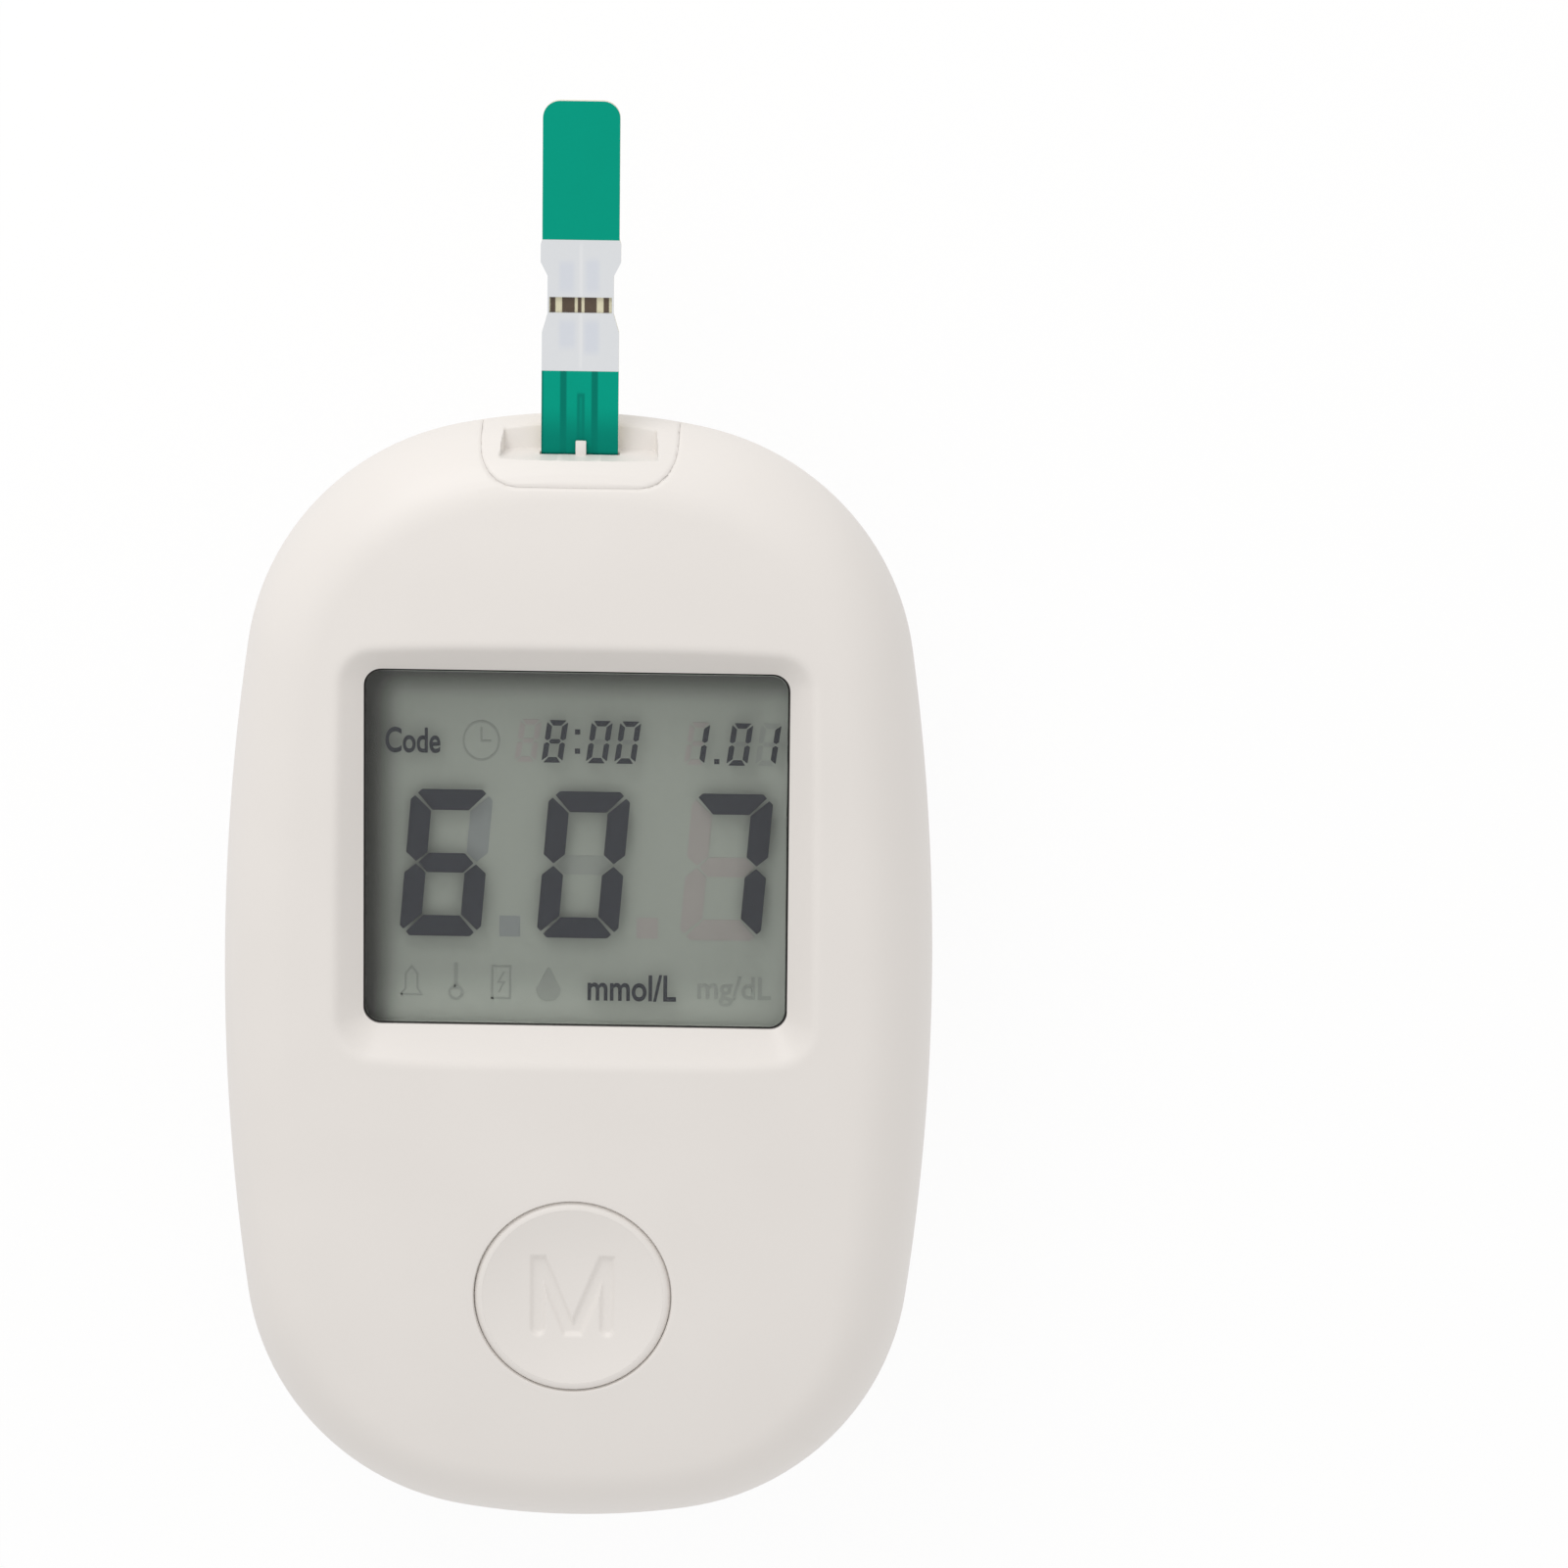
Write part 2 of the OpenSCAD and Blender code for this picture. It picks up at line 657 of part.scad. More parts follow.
module rear_cover() {
    lip_inset = front_wall + lip_gap;
    color("gainsboro")
        difference() {
            union() {
                difference() {
                    union() {
                        rear_outside();
                        loft([ring(lip_inset + 0.6, parting_height - 1.5),
                              ring(lip_inset, parting_height - 0.1),
                              ring(lip_inset, parting_height + lip_height)]);
                    }
                    rear_inside();
                    box(-bezel_width / 2 - 1, bezel_width / 2 + 1, bezel_y - 4, body_length,
                        parting_height, through);
                }
                box(-block_half, block_half, bay_low_y - bay_wall, block_high_y, 0.5,
                    bay_top + bay_ceiling);
                for (side = [-1, 1])
                    box(side * (block_half + 1.4) - 1.6, side * (block_half + 1.4) + 1.6,
                        hinge_y - 1.6, hinge_y + 1.6, 1, 3);
                intersection() {
                    rear_outside();
                    for (place = case_screw_places)
                        post(place, post_radius, 0, parting_height);
                }
                for (place = case_screw_places)
                    post(place, post_radius, parting_height - 1, board_z - 0.1);
            }
            box(-bay_half, bay_half, bay_low_y, bay_high_y, -1, bay_top);
            box(-door_recess, door_recess, door_low_y - door_gap, recess_high_y, -1,
                door_thickness + loose);
            box(-latch_half_width - door_gap, latch_half_width + door_gap, latch_y - door_gap,
                door_low_y, -1, door_thickness / 2 + loose);
            box(-latch_half_width - door_gap, latch_half_width + door_gap,
                finger_y - finger_thickness / 2 - catch_radius - door_gap, door_low_y, -1,
                rear_floor + 1);
            translate([0, hinge_y, hinge_z])
                rotate([0, 90, 0])
                    cylinder(r = hinge_pin_radius + 0.1, h = 2 * (door_half_width + hinge_pin_length
                             + 0.1), center = true);
            for (place = case_screw_places) {
                post(place, screw_radius + 0.15, 0, parting_height + 2);
                post(place, screw_head_radius + 0.2, -1, screw_seat_z);
            }
        }
}

module battery_door() {
    color("lightgrey")
        difference() {
            union() {
                box(-door_half_width, door_half_width, door_low_y, hinge_y, 0, door_thickness);
                translate([0, hinge_y, hinge_z])
                    rotate([0, 90, 0])
                        cylinder(r = hinge_z, h = 2 * door_half_width, center = true);
                translate([0, hinge_y, hinge_z])
                    rotate([0, 90, 0])
                        cylinder(r = hinge_pin_radius, h = 2 * (door_half_width + hinge_pin_length),
                                 center = true);
                box(-latch_half_width, latch_half_width, latch_y, door_low_y + 1, 0,
                    door_thickness / 2);
                box(-latch_half_width, latch_half_width, finger_y - finger_thickness / 2,
                    door_low_y + 1, 0, door_thickness);
                box(-latch_half_width + 1, latch_half_width - 1, finger_y - finger_thickness / 2,
                    finger_y + finger_thickness / 2, 1, door_thickness + latch_height);
                translate([0, finger_y - finger_thickness / 2, catch_z])
                    rotate([0, 90, 0])
                        cylinder(r = catch_radius, h = 2 * latch_half_width - 2, center = true);
            }
            for (i = [0:groove_count - 1])
                translate([0, door_low_y + 1.6 + 1.8 * i, -0.6])
                    rotate([0, 90, 0])
                        cylinder(r = 1.1, h = 2 * latch_half_width - 1, center = true);
            box(-plate_half - 0.2, plate_half + 0.2, plate_low_y - 0.2, plate_high_y + 0.2, -1,
                plate_depth);
        }
}

module rear_label() {
    color("silver")
        box(-plate_half, plate_half, plate_low_y, plate_high_y, 0.03, plate_depth);
}

module case_screws() {
    color("dimgrey")
        for (place = case_screw_places)
            difference() {
                union() {
                    post(place, screw_head_radius, screw_seat_z - screw_head_height, screw_seat_z);
                    post(place, screw_radius, screw_seat_z - 0.5, screw_seat_z + screw_length);
                }
                for (turn = [0, 90])
                    translate([place.x, place.y, screw_seat_z - screw_head_height])
                        rotate([0, 0, turn])
                            cube([2.2, 0.5, 1.4], center = true);
            }
}

// display ------------------------------------------------------------------

module window_plate(side, end, corner, z0, z1) {
    translate([0, window_y, z0])
        linear_extrude(height = z1 - z0)
            rounded_plan(side, end, corner);
}

module rounded_plan(side, end, corner) {
    union() {
        square([2 * side, 2 * (end - corner)], center = true);
        square([2 * (side - corner), 2 * end], center = true);
        for (sx = [-1, 1], sy = [-1, 1])
            translate([sx * (side - corner), sy * (end - corner)])
                circle(r = corner);
    }
}

module display_lens() {
    color("lightblue")
        union() {
            window_plate(window_width / 2 - lens_gap, window_height / 2 - lens_gap, window_corner,
                         lens_bottom, lens_top);
            window_plate(pocket_side - 0.1, pocket_end - 0.1, 1, lens_bottom, flange_top);
        }
}

module lens_adhesive() {
    color("black")
        difference() {
            window_plate(pocket_side - 0.2, pocket_end - 0.2, 1, flange_top, pocket_top);
            window_plate(pocket_side - 0.2 - adhesive_width, pocket_end - 0.2 - adhesive_width, 1,
                         flange_top - 1, pocket_top + 1);
        }
}

module display_gasket() {
    color("dimgrey")
        difference() {
            window_plate(pocket_side - 0.3, pocket_end - 0.3, 1, polarizer_top, lens_bottom);
            window_plate(window_width / 2 + 0.4, window_height / 2 + 0.4, 1, polarizer_top - 1,
                         lens_bottom + 1);
        }
}

module lcd_polarizer() {
    color("darkseagreen")
        window_plate(lcd_width / 2 - 0.3, lcd_height / 2 - 0.6, 0.5, front_glass_top, polarizer_top);
}

module lcd_front_glass() {
    color("lightcyan")
        box(-lcd_width / 2, lcd_width / 2, window_y - lcd_height / 2, window_y + lcd_height / 2,
            rear_glass_top, front_glass_top);
}

module lcd_rear_glass() {
    color("paleturquoise")
        box(-lcd_width / 2, lcd_width / 2, window_y - lcd_height / 2 + lcd_ledge,
            window_y + lcd_height / 2 - lcd_ledge, reflector_top, rear_glass_top);
}

module lcd_reflector() {
    color("silver")
        box(-lcd_width / 2 + 0.3, lcd_width / 2 - 0.3, window_y - lcd_height / 2 + lcd_ledge + 0.3,
            window_y + lcd_height / 2 - lcd_ledge - 0.3, reflector_top - reflector_thickness,
            reflector_top);
}

module lcd_frame() {
    color("ivory")
        difference() {
            box(-frame_side - lcd_frame_wall, frame_side + lcd_frame_wall,
                window_y - frame_end - lcd_frame_wall, window_y + frame_end + lcd_frame_wall,
                board_top, lens_bottom - 0.3);
            box(-frame_side, frame_side, window_y - frame_end, window_y + frame_end, 0, through);
        }
}

module elastomer_connectors() {
    color("palevioletred")
        for (side = [-1, 1])
            translate([0, window_y + side * (lcd_height / 2 - lcd_ledge / 2),
                       (board_top + rear_glass_top) / 2])
                cube([lcd_width - 6, elastomer_thickness, rear_glass_top - board_top],
                     center = true);
}

// button -------------------------------------------------------------------

module capsule(a, b, w, z0, z1) {
    span = norm(b - a);
    translate([a.x, a.y, z0])
        rotate([0, 0, atan2(b.y - a.y, b.x - a.x)])
            linear_extrude(height = z1 - z0)
                union() {
                    translate([0, -w / 2])
                        square([span, w]);
                    circle(r = w / 2);
                    translate([span, 0])
                        circle(r = w / 2);
                }
}

module mark_cut(z0) {
    x = (mark_width - mark_stroke) / 2;
    y = (mark_height - mark_stroke) / 2;
    corners = [[-x, -y], [-x, y], [0, -y], [x, y], [x, -y]];
    translate([0, button_y, 0])
        for (i = [0:3])
            capsule(corners[i], corners[i + 1], mark_stroke, z0, through);
}

module memory_button() {
    dish_floor = button_top - dish_depth;
    color("white")
        difference() {
            translate([0, button_y, 0])
                union() {
                    rotate_extrude()
                        union() {
                            translate([0, button_base])
                                square([button_radius, button_top - button_rim / 2 - button_base]);
                            rounded_rim();
                        }
                    translate([0, 0, button_base])
                        cylinder(r = button_radius + button_gap + button_flange,
                                 h = button_flange_thickness);
                    translate([0, 0, stem_base])
                        cylinder(r = stem_radius, h = 1);
                }
            translate([0, button_y, dish_floor + dish_radius])
                sphere(r = dish_radius);
            mark_cut(dish_floor - mark_depth);
        }
}

// rounded rim of the button, as a half profile
module rounded_rim() {
    r = button_rim / 2;
    translate([0, button_top - button_rim / 2 - joined])
        square([button_radius - r, r + joined]);
    translate([button_radius - r, button_top - r])
        circle(r = r);
}

module keypad_dome() {
    top_r = stem_radius + 0.3;
    color("salmon")
        translate([0, button_y, board_top])
            rotate_extrude()
                polygon([[0, stem_base - board_top], [top_r, stem_base - board_top],
                         [top_r + 0.9, dome_wall], [top_r + dome_skirt, dome_wall],
                         [top_r + dome_skirt, 0],
                         [top_r + 0.4, 0], [top_r - 0.4, stem_base - board_top - dome_wall],
                         [0, stem_base - board_top - dome_wall]]);
}

module contact_pill() {
    color("black")
        post([0, button_y], stem_radius - 0.7, stem_base - dome_wall - pill_height,
             stem_base - dome_wall);
}

// electronics --------------------------------------------------------------

module main_board() {
    color("seagreen")
        difference() {
            loft([ring(board_inset, board_z), ring(board_inset, board_top)]);
            box(-bezel_width / 2 - 0.5, bezel_width / 2 + 0.5, connector_y, body_length, 0,
                through);
            for (place = case_screw_places)
                post(place, boss_radius + 0.3, 0, through);
            for (place = board_screw_places)
                post(place, board_screw_radius + 0.1, 0, through);
        }
}

module board_screws() {
    color("silver")
        for (place = board_screw_places)
            difference() {
                union() {
                    post(place, board_screw_head, board_z - 1, board_z);
                    post(place, board_screw_radius, board_z - 0.5, board_top + 3);
                }
                translate([place.x, place.y, board_z - 1])
                    cube([2, 0.4, 0.8], center = true);
            }
}

// a flat chip with a row of pins on each side, on the board
module chip(x, y, long, wide, pins) {
    foot = 0.5;
    union() {
        box(x - wide / 2, x + wide / 2, y - long / 2, y + long / 2, board_top + 0.1,
            board_top + chip_height);
        for (side = [-1, 1], i = [0:pins - 1])
            translate([x + side * wide / 2, y + (i - (pins - 1) / 2) * pin_pitch,
                       board_top + foot / 2])
                cube([2 * foot, pin_pitch / 2, foot], center = true);
    }
}

module microcontroller() {
    color("black")
        chip(chip_x, chip_y, processor_length, processor_width, 9);
}

module memory_chip() {
    color("black")
        chip(-chip_x, chip_y, chip_length, chip_width, 4);
}

module amplifier_chip() {
    color("black")
        chip(-(connector_width + chip_width) / 2 - 0.8, connector_y - 1 - chip_length / 2,
             chip_length, chip_width, 4);
}

module clock_crystal() {
    color("silver")
        translate([chip_x - 1, chip_y - processor_length / 2 - 1, board_top + crystal_radius])
            rotate([90, 0, 0])
                cylinder(r = crystal_radius, h = crystal_length);
}

module resistor(x, y) {
    box(x - resistor_length / 2, x + resistor_length / 2, y - resistor_width / 2,
        y + resistor_width / 2, board_top, board_top + resistor_width);
}

module chip_components() {
    color("tan")
        for (i = [0:chip_rows - 1]) {
            resistor(-column_x, chip_y - chip_length / 2 - (1.5 + 2 * i) * resistor_width);
            resistor(-column_x - 1.5 * resistor_length,
                     chip_y - chip_length / 2 - (1.5 + 2 * i) * resistor_width);
            resistor(connector_width / 2 + resistor_length,
                     connector_y - (1 + 2 * i) * resistor_width);
        }
}

module buzzer() {
    color("black")
        difference() {
            post([0, buzzer_y], buzzer_radius, board_z - buzzer_height, board_z);
            post([0, buzzer_y], buzzer_radius / 6, board_z - buzzer_height - 1,
                 board_z - buzzer_height + 1);
        }
}

module strip_connector_housing() {
    low_y = connector_y - connector_length;
    color("dimgrey")
        difference() {
            box(-connector_width / 2, connector_width / 2, low_y, connector_y, board_top,
                connector_top_z);
            box(-strip_width / 2 - 0.2, strip_width / 2 + 0.2, strip_low_y - 0.2, connector_y + 1,
                strip_base_z - 0.1, strip_top_z + 0.15);
            for (i = [0:leaf_count - 1])
                box(leaf_x(i) - leaf_width / 2 - 0.1, leaf_x(i) + leaf_width / 2 + 0.1,
                    low_y - 1, strip_low_y + 2.6, strip_top_z - 0.5, connector_top_z - 0.5);
        }
}

function leaf_x(i) = (i - (leaf_count - 1) / 2) * leaf_pitch;

// each leaf rises from the board, bends over and dips to its conductor
module strip_contacts() {
    low_y = connector_y - connector_length;
    tip_z = electrode_z + electrode_thickness + loose;
    color("gold")
        for (i = [0:leaf_count - 1])
            translate([leaf_x(i) - leaf_width / 2, 0, 0])
                rotate([90, 0, 90])
                    linear_extrude(height = leaf_width)
                        polygon([[low_y - 0.5, board_top], [low_y - 0.2, board_top],
                                 [low_y - 0.2, strip_top_z + 0.45], [strip_low_y + 1.2, tip_z],
                                 [strip_low_y + 1.8, tip_z], [strip_low_y + 2.4, strip_top_z + 0.3],
                                 [strip_low_y + 2.4, strip_top_z + 0.5],
                                 [strip_low_y + 1.7, tip_z + 0.2], [strip_low_y + 1.3, tip_z + 0.2],
                                 [low_y - 0.2, strip_top_z + 0.75], [low_y - 0.5, strip_top_z + 0.75]]);
}

// power --------------------------------------------------------------------

// a cell along Y: its nub points to the strip end when up is 1
module cell(x, y0, up) {
    translate([x, up > 0 ? y0 : y0 + cell_length, cell_z])
        rotate([up > 0 ? -90 : 90, 0, 0])
            union() {
                cylinder(r = cell_radius, h = cell_length - nub_length - 0.6);
                cylinder(r = cell_radius - 0.6, h = cell_length - nub_length);
                cylinder(r = nub_radius, h = cell_length);
            }
}

module battery_cell_left() {
    color("royalblue")
        cell(-cell_x, bay_low_y + plate_thickness + spring_length + 0.05, 1);
}

module battery_cell_right() {
    color("royalblue")
        cell(cell_x, bay_low_y + plate_thickness + 0.05, -1);
}

module contact_plate(x, y0) {
    box(x - plate_reach, x + plate_reach, y0, y0 + plate_thickness, cell_z - plate_reach,
        cell_z + plate_reach);
}

module positive_contact() {
    color("gold")
        contact_plate(-cell_x, bay_high_y - plate_thickness);
}

module negative_contact() {
    color("gold")
        contact_plate(cell_x, bay_high_y - plate_thickness);
}

module link_contact() {
    color("gold")
        box(-cell_x - plate_reach, cell_x + plate_reach, bay_low_y, bay_low_y + plate_thickness,
            cell_z - plate_reach, cell_z + plate_reach);
}

// springs as plain hollow cones, wide at the plate
module battery_springs() {
    color("silver")
        for (side = [-1, 1])
            translate([side * cell_x, side < 0 ? bay_low_y + plate_thickness
                                               : bay_high_y - plate_thickness, cell_z])
                rotate([side < 0 ? -90 : 90, 0, 0])
                    rotate_extrude()
                        polygon([[spring_foot_radius - spring_wire, 0], [spring_foot_radius, 0],
                                 [spring_tip_radius, spring_length],
                                 [spring_tip_radius - spring_wire, spring_length]]);
}

// test strip ---------------------------------------------------------------

function strip_side(side) =
    [[side * strip_width / 2, neck_y], [side * strip_waist / 2, waist_low_y],
     [side * strip_waist / 2, waist_high_y], [side * strip_bulge / 2, bulge_y],
     [side * strip_bulge / 2, grip_y - 0.4], [side * strip_width / 2, grip_y]];

// the strip in plan between two places along it
module strip_plan(y0, y1) {
    r = strip_corner;
    intersection() {
        union() {
            polygon(concat([[strip_width / 2, strip_low_y]], strip_side(1),
                           [[strip_width / 2, strip_end_y - r], [-strip_width / 2, strip_end_y - r]],
                           [for (i = [5:-1:0]) strip_side(-1)[i]], [[-strip_width / 2, strip_low_y]]));
            translate([-strip_width / 2 + r, strip_end_y - r - 0.1])
                square([strip_width - 2 * r, r + 0.1]);
            for (side = [-1, 1])
                translate([side * (strip_width / 2 - r), strip_end_y - r])
                    circle(r = r);
        }
        translate([-strip_width, y0])
            square([2 * strip_width, y1 - y0]);
    }
}

module strip_layer(y0, y1, z0, z1) {
    translate([0, 0, z0])
        linear_extrude(height = z1 - z0)
            strip_plan(y0, y1);
}

module bar_window() {
    box(-bar_half, bar_half, bar_low_y, bar_high_y, 0, through);
}

module strip_base() {
    color("seashell")
        strip_layer(strip_low_y, strip_end_y, strip_base_z, electrode_z);
}

module strip_electrodes() {
    color("goldenrod")
        for (i = [0:leaf_count - 1])
            box(leaf_x(i) - 0.38, leaf_x(i) + 0.38, strip_low_y + 0.2, bar_high_y, electrode_z,
                electrode_z + electrode_thickness);
}

module strip_spacer_film() {
    color("white")
        difference() {
            strip_layer(strip_low_y + bare_length, strip_end_y, electrode_z + electrode_thickness,
                        strip_top_z - film_thickness);
            bar_window();
        }
}

module strip_label_film() {
    color("aliceblue")
        difference() {
            strip_layer(white_y, grip_y, strip_top_z - film_thickness, strip_top_z);
            bar_window();
        }
}

module strip_lead_film() {
    color("lightseagreen")
        strip_layer(strip_low_y + bare_length, white_y, strip_top_z - film_thickness, strip_top_z);
}

module strip_grip_film() {
    color("teal")
        strip_layer(grip_y, strip_end_y, strip_top_z - film_thickness, strip_top_z);
}

// the object ---------------------------------------------------------------

front_cover();
rear_cover();
strip_port_bezel();
battery_door();
case_screws();
display_lens();
lens_adhesive();
display_gasket();
rear_label();
memory_button();
keypad_dome();
contact_pill();
lcd_front_glass();
lcd_rear_glass();
lcd_polarizer();
lcd_reflector();
lcd_frame();
elastomer_connectors();
main_board();
board_screws();
microcontroller();
amplifier_chip();
memory_chip();
clock_crystal();
chip_components();
buzzer();
strip_connector_housing();
strip_contacts();
battery_cell_left();
battery_cell_right();
positive_contact();
negative_contact();
link_contact();
battery_springs();
strip_base();
strip_electrodes();
strip_spacer_film();
strip_label_film();
strip_lead_film();
strip_grip_film();
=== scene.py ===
import bmesh
import bpy
import json
from math import acos, atan2, cos, hypot, pi, radians, sin, sqrt
from mathutils import Matrix, Vector


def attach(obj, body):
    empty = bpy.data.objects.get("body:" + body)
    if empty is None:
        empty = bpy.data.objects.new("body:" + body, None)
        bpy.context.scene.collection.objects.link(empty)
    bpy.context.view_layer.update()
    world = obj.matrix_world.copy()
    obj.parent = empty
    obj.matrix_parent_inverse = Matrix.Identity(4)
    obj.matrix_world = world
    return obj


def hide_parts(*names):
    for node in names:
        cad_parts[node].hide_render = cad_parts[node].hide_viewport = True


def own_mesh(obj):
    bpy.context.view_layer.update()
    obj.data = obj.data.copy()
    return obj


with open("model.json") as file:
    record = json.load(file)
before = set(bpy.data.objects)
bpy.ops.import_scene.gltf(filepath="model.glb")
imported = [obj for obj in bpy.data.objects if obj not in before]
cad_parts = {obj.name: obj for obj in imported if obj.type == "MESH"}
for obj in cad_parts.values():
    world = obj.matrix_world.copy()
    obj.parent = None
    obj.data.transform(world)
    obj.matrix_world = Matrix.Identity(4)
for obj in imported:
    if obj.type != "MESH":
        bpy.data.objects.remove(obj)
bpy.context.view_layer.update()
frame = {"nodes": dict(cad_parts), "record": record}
mm = 0.001
print("frame loaded:", len(frame["nodes"]), "nodes")

# the view of the photograph, in millimetres and degrees
view = {
    "aim": (15.68, 14.787, 12.7),
    "distance": 831.5,
    "towardsTop": 14.29,
    "towardsRight": 1.0,
    "roll": 0.629,
    "lens": 248.94,
}


def addCamera():
    data = bpy.data.cameras.new("photoCamera")
    data.lens = view["lens"]
    data.sensor_width = 36
    data.clip_start = 0.01
    data.clip_end = 10
    camera = bpy.data.objects.new("photoCamera", data)
    bpy.context.collection.objects.link(camera)
    up, side = radians(view["towardsTop"]), radians(view["towardsRight"])
    back = Vector((sin(side), sin(up) * cos(side), cos(up) * cos(side)))
    right = Vector((0, 1, 0)).cross(back).normalized()
    turned = Matrix((right, back.cross(right), back)).transposed().to_4x4()
    spin = Matrix.Rotation(radians(view["roll"]), 4, "Z")
    place = (Vector(view["aim"]) + back * view["distance"]) * mm
    camera.matrix_world = Matrix.Translation(place) @ turned @ spin
    bpy.context.scene.camera = camera


seenRays = ("Is Camera Ray", "Is Glossy Ray", "Is Transmission Ray")
lightRays = ("Is Diffuse Ray", "Is Shadow Ray")
# light: an even pale room and one large soft lamp beyond the strip end
studio = {
    "room": 0.83,
    "lampPower": 0.52,
    "lampSize": 0.25,
    "lampPlace": (-0.13, 0.35, 0.20),
    "floorGrey": 0.10,  # how much of the floor's white is light that a shadow can take
    "floorBounce": 0.8,
}


def setValues(node, **values):
    for socket, value in values.items():
        node.inputs[socket.replace("_", " ")].default_value = value
    return node


def addNode(nodes, kind, **values):
    return setValues(nodes.new("ShaderNode" + kind), **values)


def newMaterial(name):
    material = bpy.data.materials.new(name)
    material.use_nodes = True
    return material, material.node_tree.nodes, material.node_tree.links


def rayShare(nodes, links, kinds, total=None):
    path = nodes.new("ShaderNodeLightPath")
    for kind in kinds:
        if total is None:
            total = path.outputs[kind]
            continue
        either = nodes.new("ShaderNodeMath")
        either.operation = "MAXIMUM"
        links.new(total, either.inputs[0])
        links.new(path.outputs[kind], either.inputs[1])
        total = either.outputs[0]
    return total


def mixShaders(nodes, links, share, first, second):
    mix = nodes.new("ShaderNodeMixShader")
    for place, socket in enumerate((share, first, second)):
        links.new(socket, mix.inputs[place])
    return mix.outputs[0]


def addStudio():
    world = bpy.data.worlds.new("paleRoom")
    bpy.context.scene.world = world
    world.use_nodes = True
    nodes, links = world.node_tree.nodes, world.node_tree.links
    nodes.clear()
    seen = rayShare(nodes, links, seenRays)
    room = addNode(nodes, "Background", Color=(1.0, 0.985, 0.97, 1), Strength=studio["room"])
    white = addNode(nodes, "Background", Strength=1)
    out = nodes.new("ShaderNodeOutputWorld")
    links.new(mixShaders(nodes, links, seen, room.outputs[0], white.outputs[0]), out.inputs[0])

    lamp = bpy.data.lights.new("softLamp", "AREA")
    lamp.shape = "DISK"
    lamp.size = studio["lampSize"]
    lamp.energy = studio["lampPower"]
    lamp.color = (1.0, 0.985, 0.97)
    light = bpy.data.objects.new("softLamp", lamp)
    bpy.context.collection.objects.link(light)
    place = Vector(studio["lampPlace"])
    light.matrix_world = Matrix.Translation(place) @ place.to_track_quat("Z", "Y").to_matrix().to_4x4()

    floor = bmesh.new()
    bmesh.ops.create_grid(floor, x_segments=1, y_segments=1, size=3)
    bmesh.ops.translate(floor, vec=(0, 0, -0.02 * mm), verts=floor.verts)
    mesh = bpy.data.meshes.new("floor")
    floor.to_mesh(mesh)
    floor.free()
    plane = bpy.data.objects.new("floor", mesh)
    bpy.context.collection.objects.link(plane)
    material, nodes, links = newMaterial("paleFloor")
    nodes.clear()
    soft = addNode(nodes, "BsdfDiffuse", Color=(studio["floorGrey"],) * 3 + (1,))
    glow = addNode(nodes, "Emission", Strength=1 - studio["floorGrey"])
    both = nodes.new("ShaderNodeAddShader")
    bounce = addNode(nodes, "BsdfDiffuse", Color=(studio["floorBounce"],) * 3 + (1,))
    links.new(soft.outputs[0], both.inputs[0])
    links.new(glow.outputs[0], both.inputs[1])
    above = mixShaders(nodes, links, rayShare(nodes, links, seenRays), bounce.outputs[0], both.outputs[0])
    side = nodes.new("ShaderNodeNewGeometry")  # from below, the floor lets the object be seen and lit
    through = rayShare(nodes, links, lightRays, side.outputs["Backfacing"])
    under = nodes.new("ShaderNodeBsdfTransparent")
    out = nodes.new("ShaderNodeOutputMaterial")
    links.new(mixShaders(nodes, links, through, above, under.outputs[0]), out.inputs[0])
    mesh.materials.append(material)


addCamera()
addStudio()
bpy.context.scene.view_settings.view_transform = "Standard"
print("camera, lamp and floor are set")

# materials


def surfaceGroup():
    group = bpy.data.node_groups.new("mouldedSurface", "ShaderNodeTree")
    face = group.interface
    face.new_socket("Grain Scale", in_out="INPUT", socket_type="NodeSocketFloat").default_value = 4000
    face.new_socket("Cloud Scale", in_out="INPUT", socket_type="NodeSocketFloat").default_value = 90
    face.new_socket("Shade", in_out="OUTPUT", socket_type="NodeSocketFloat")
    face.new_socket("Height", in_out="OUTPUT", socket_type="NodeSocketFloat")
    nodes, links = group.nodes, group.links
    start = nodes.new("NodeGroupInput")
    end = nodes.new("NodeGroupOutput")
    where = nodes.new("ShaderNodeTexCoord")
    cloud = addNode(nodes, "TexNoise", Detail=3)
    grain = addNode(nodes, "TexNoise", Detail=2)
    links.new(where.outputs["Object"], cloud.inputs["Vector"])
    links.new(where.outputs["Object"], grain.inputs["Vector"])
    links.new(start.outputs["Cloud Scale"], cloud.inputs["Scale"])
    links.new(start.outputs["Grain Scale"], grain.inputs["Scale"])
    both = nodes.new("ShaderNodeMath")
    both.operation = "MULTIPLY_ADD"
    both.inputs[1].default_value = 0.3
    links.new(grain.outputs["Fac"], both.inputs[0])
    links.new(cloud.outputs["Fac"], both.inputs[2])
    reach = addNode(nodes, "MapRange", From_Min=0.45, From_Max=0.85)
    links.new(both.outputs[0], reach.inputs["Value"])
    links.new(reach.outputs["Result"], end.inputs["Shade"])
    links.new(grain.outputs["Fac"], end.inputs["Height"])
    return group


moulded = surfaceGroup()


def mixColours(nodes, links, mask, first, second):
    mix = nodes.new("ShaderNodeMix")
    mix.data_type = "RGBA"
    for socket, value in ((mix.inputs[6], first), (mix.inputs[7], second)):
        if isinstance(value, bpy.types.NodeSocket):
            links.new(value, socket)
        else:
            socket.default_value = (*value, 1)
    links.new(mask, mix.inputs[0])
    return mix.outputs[2]


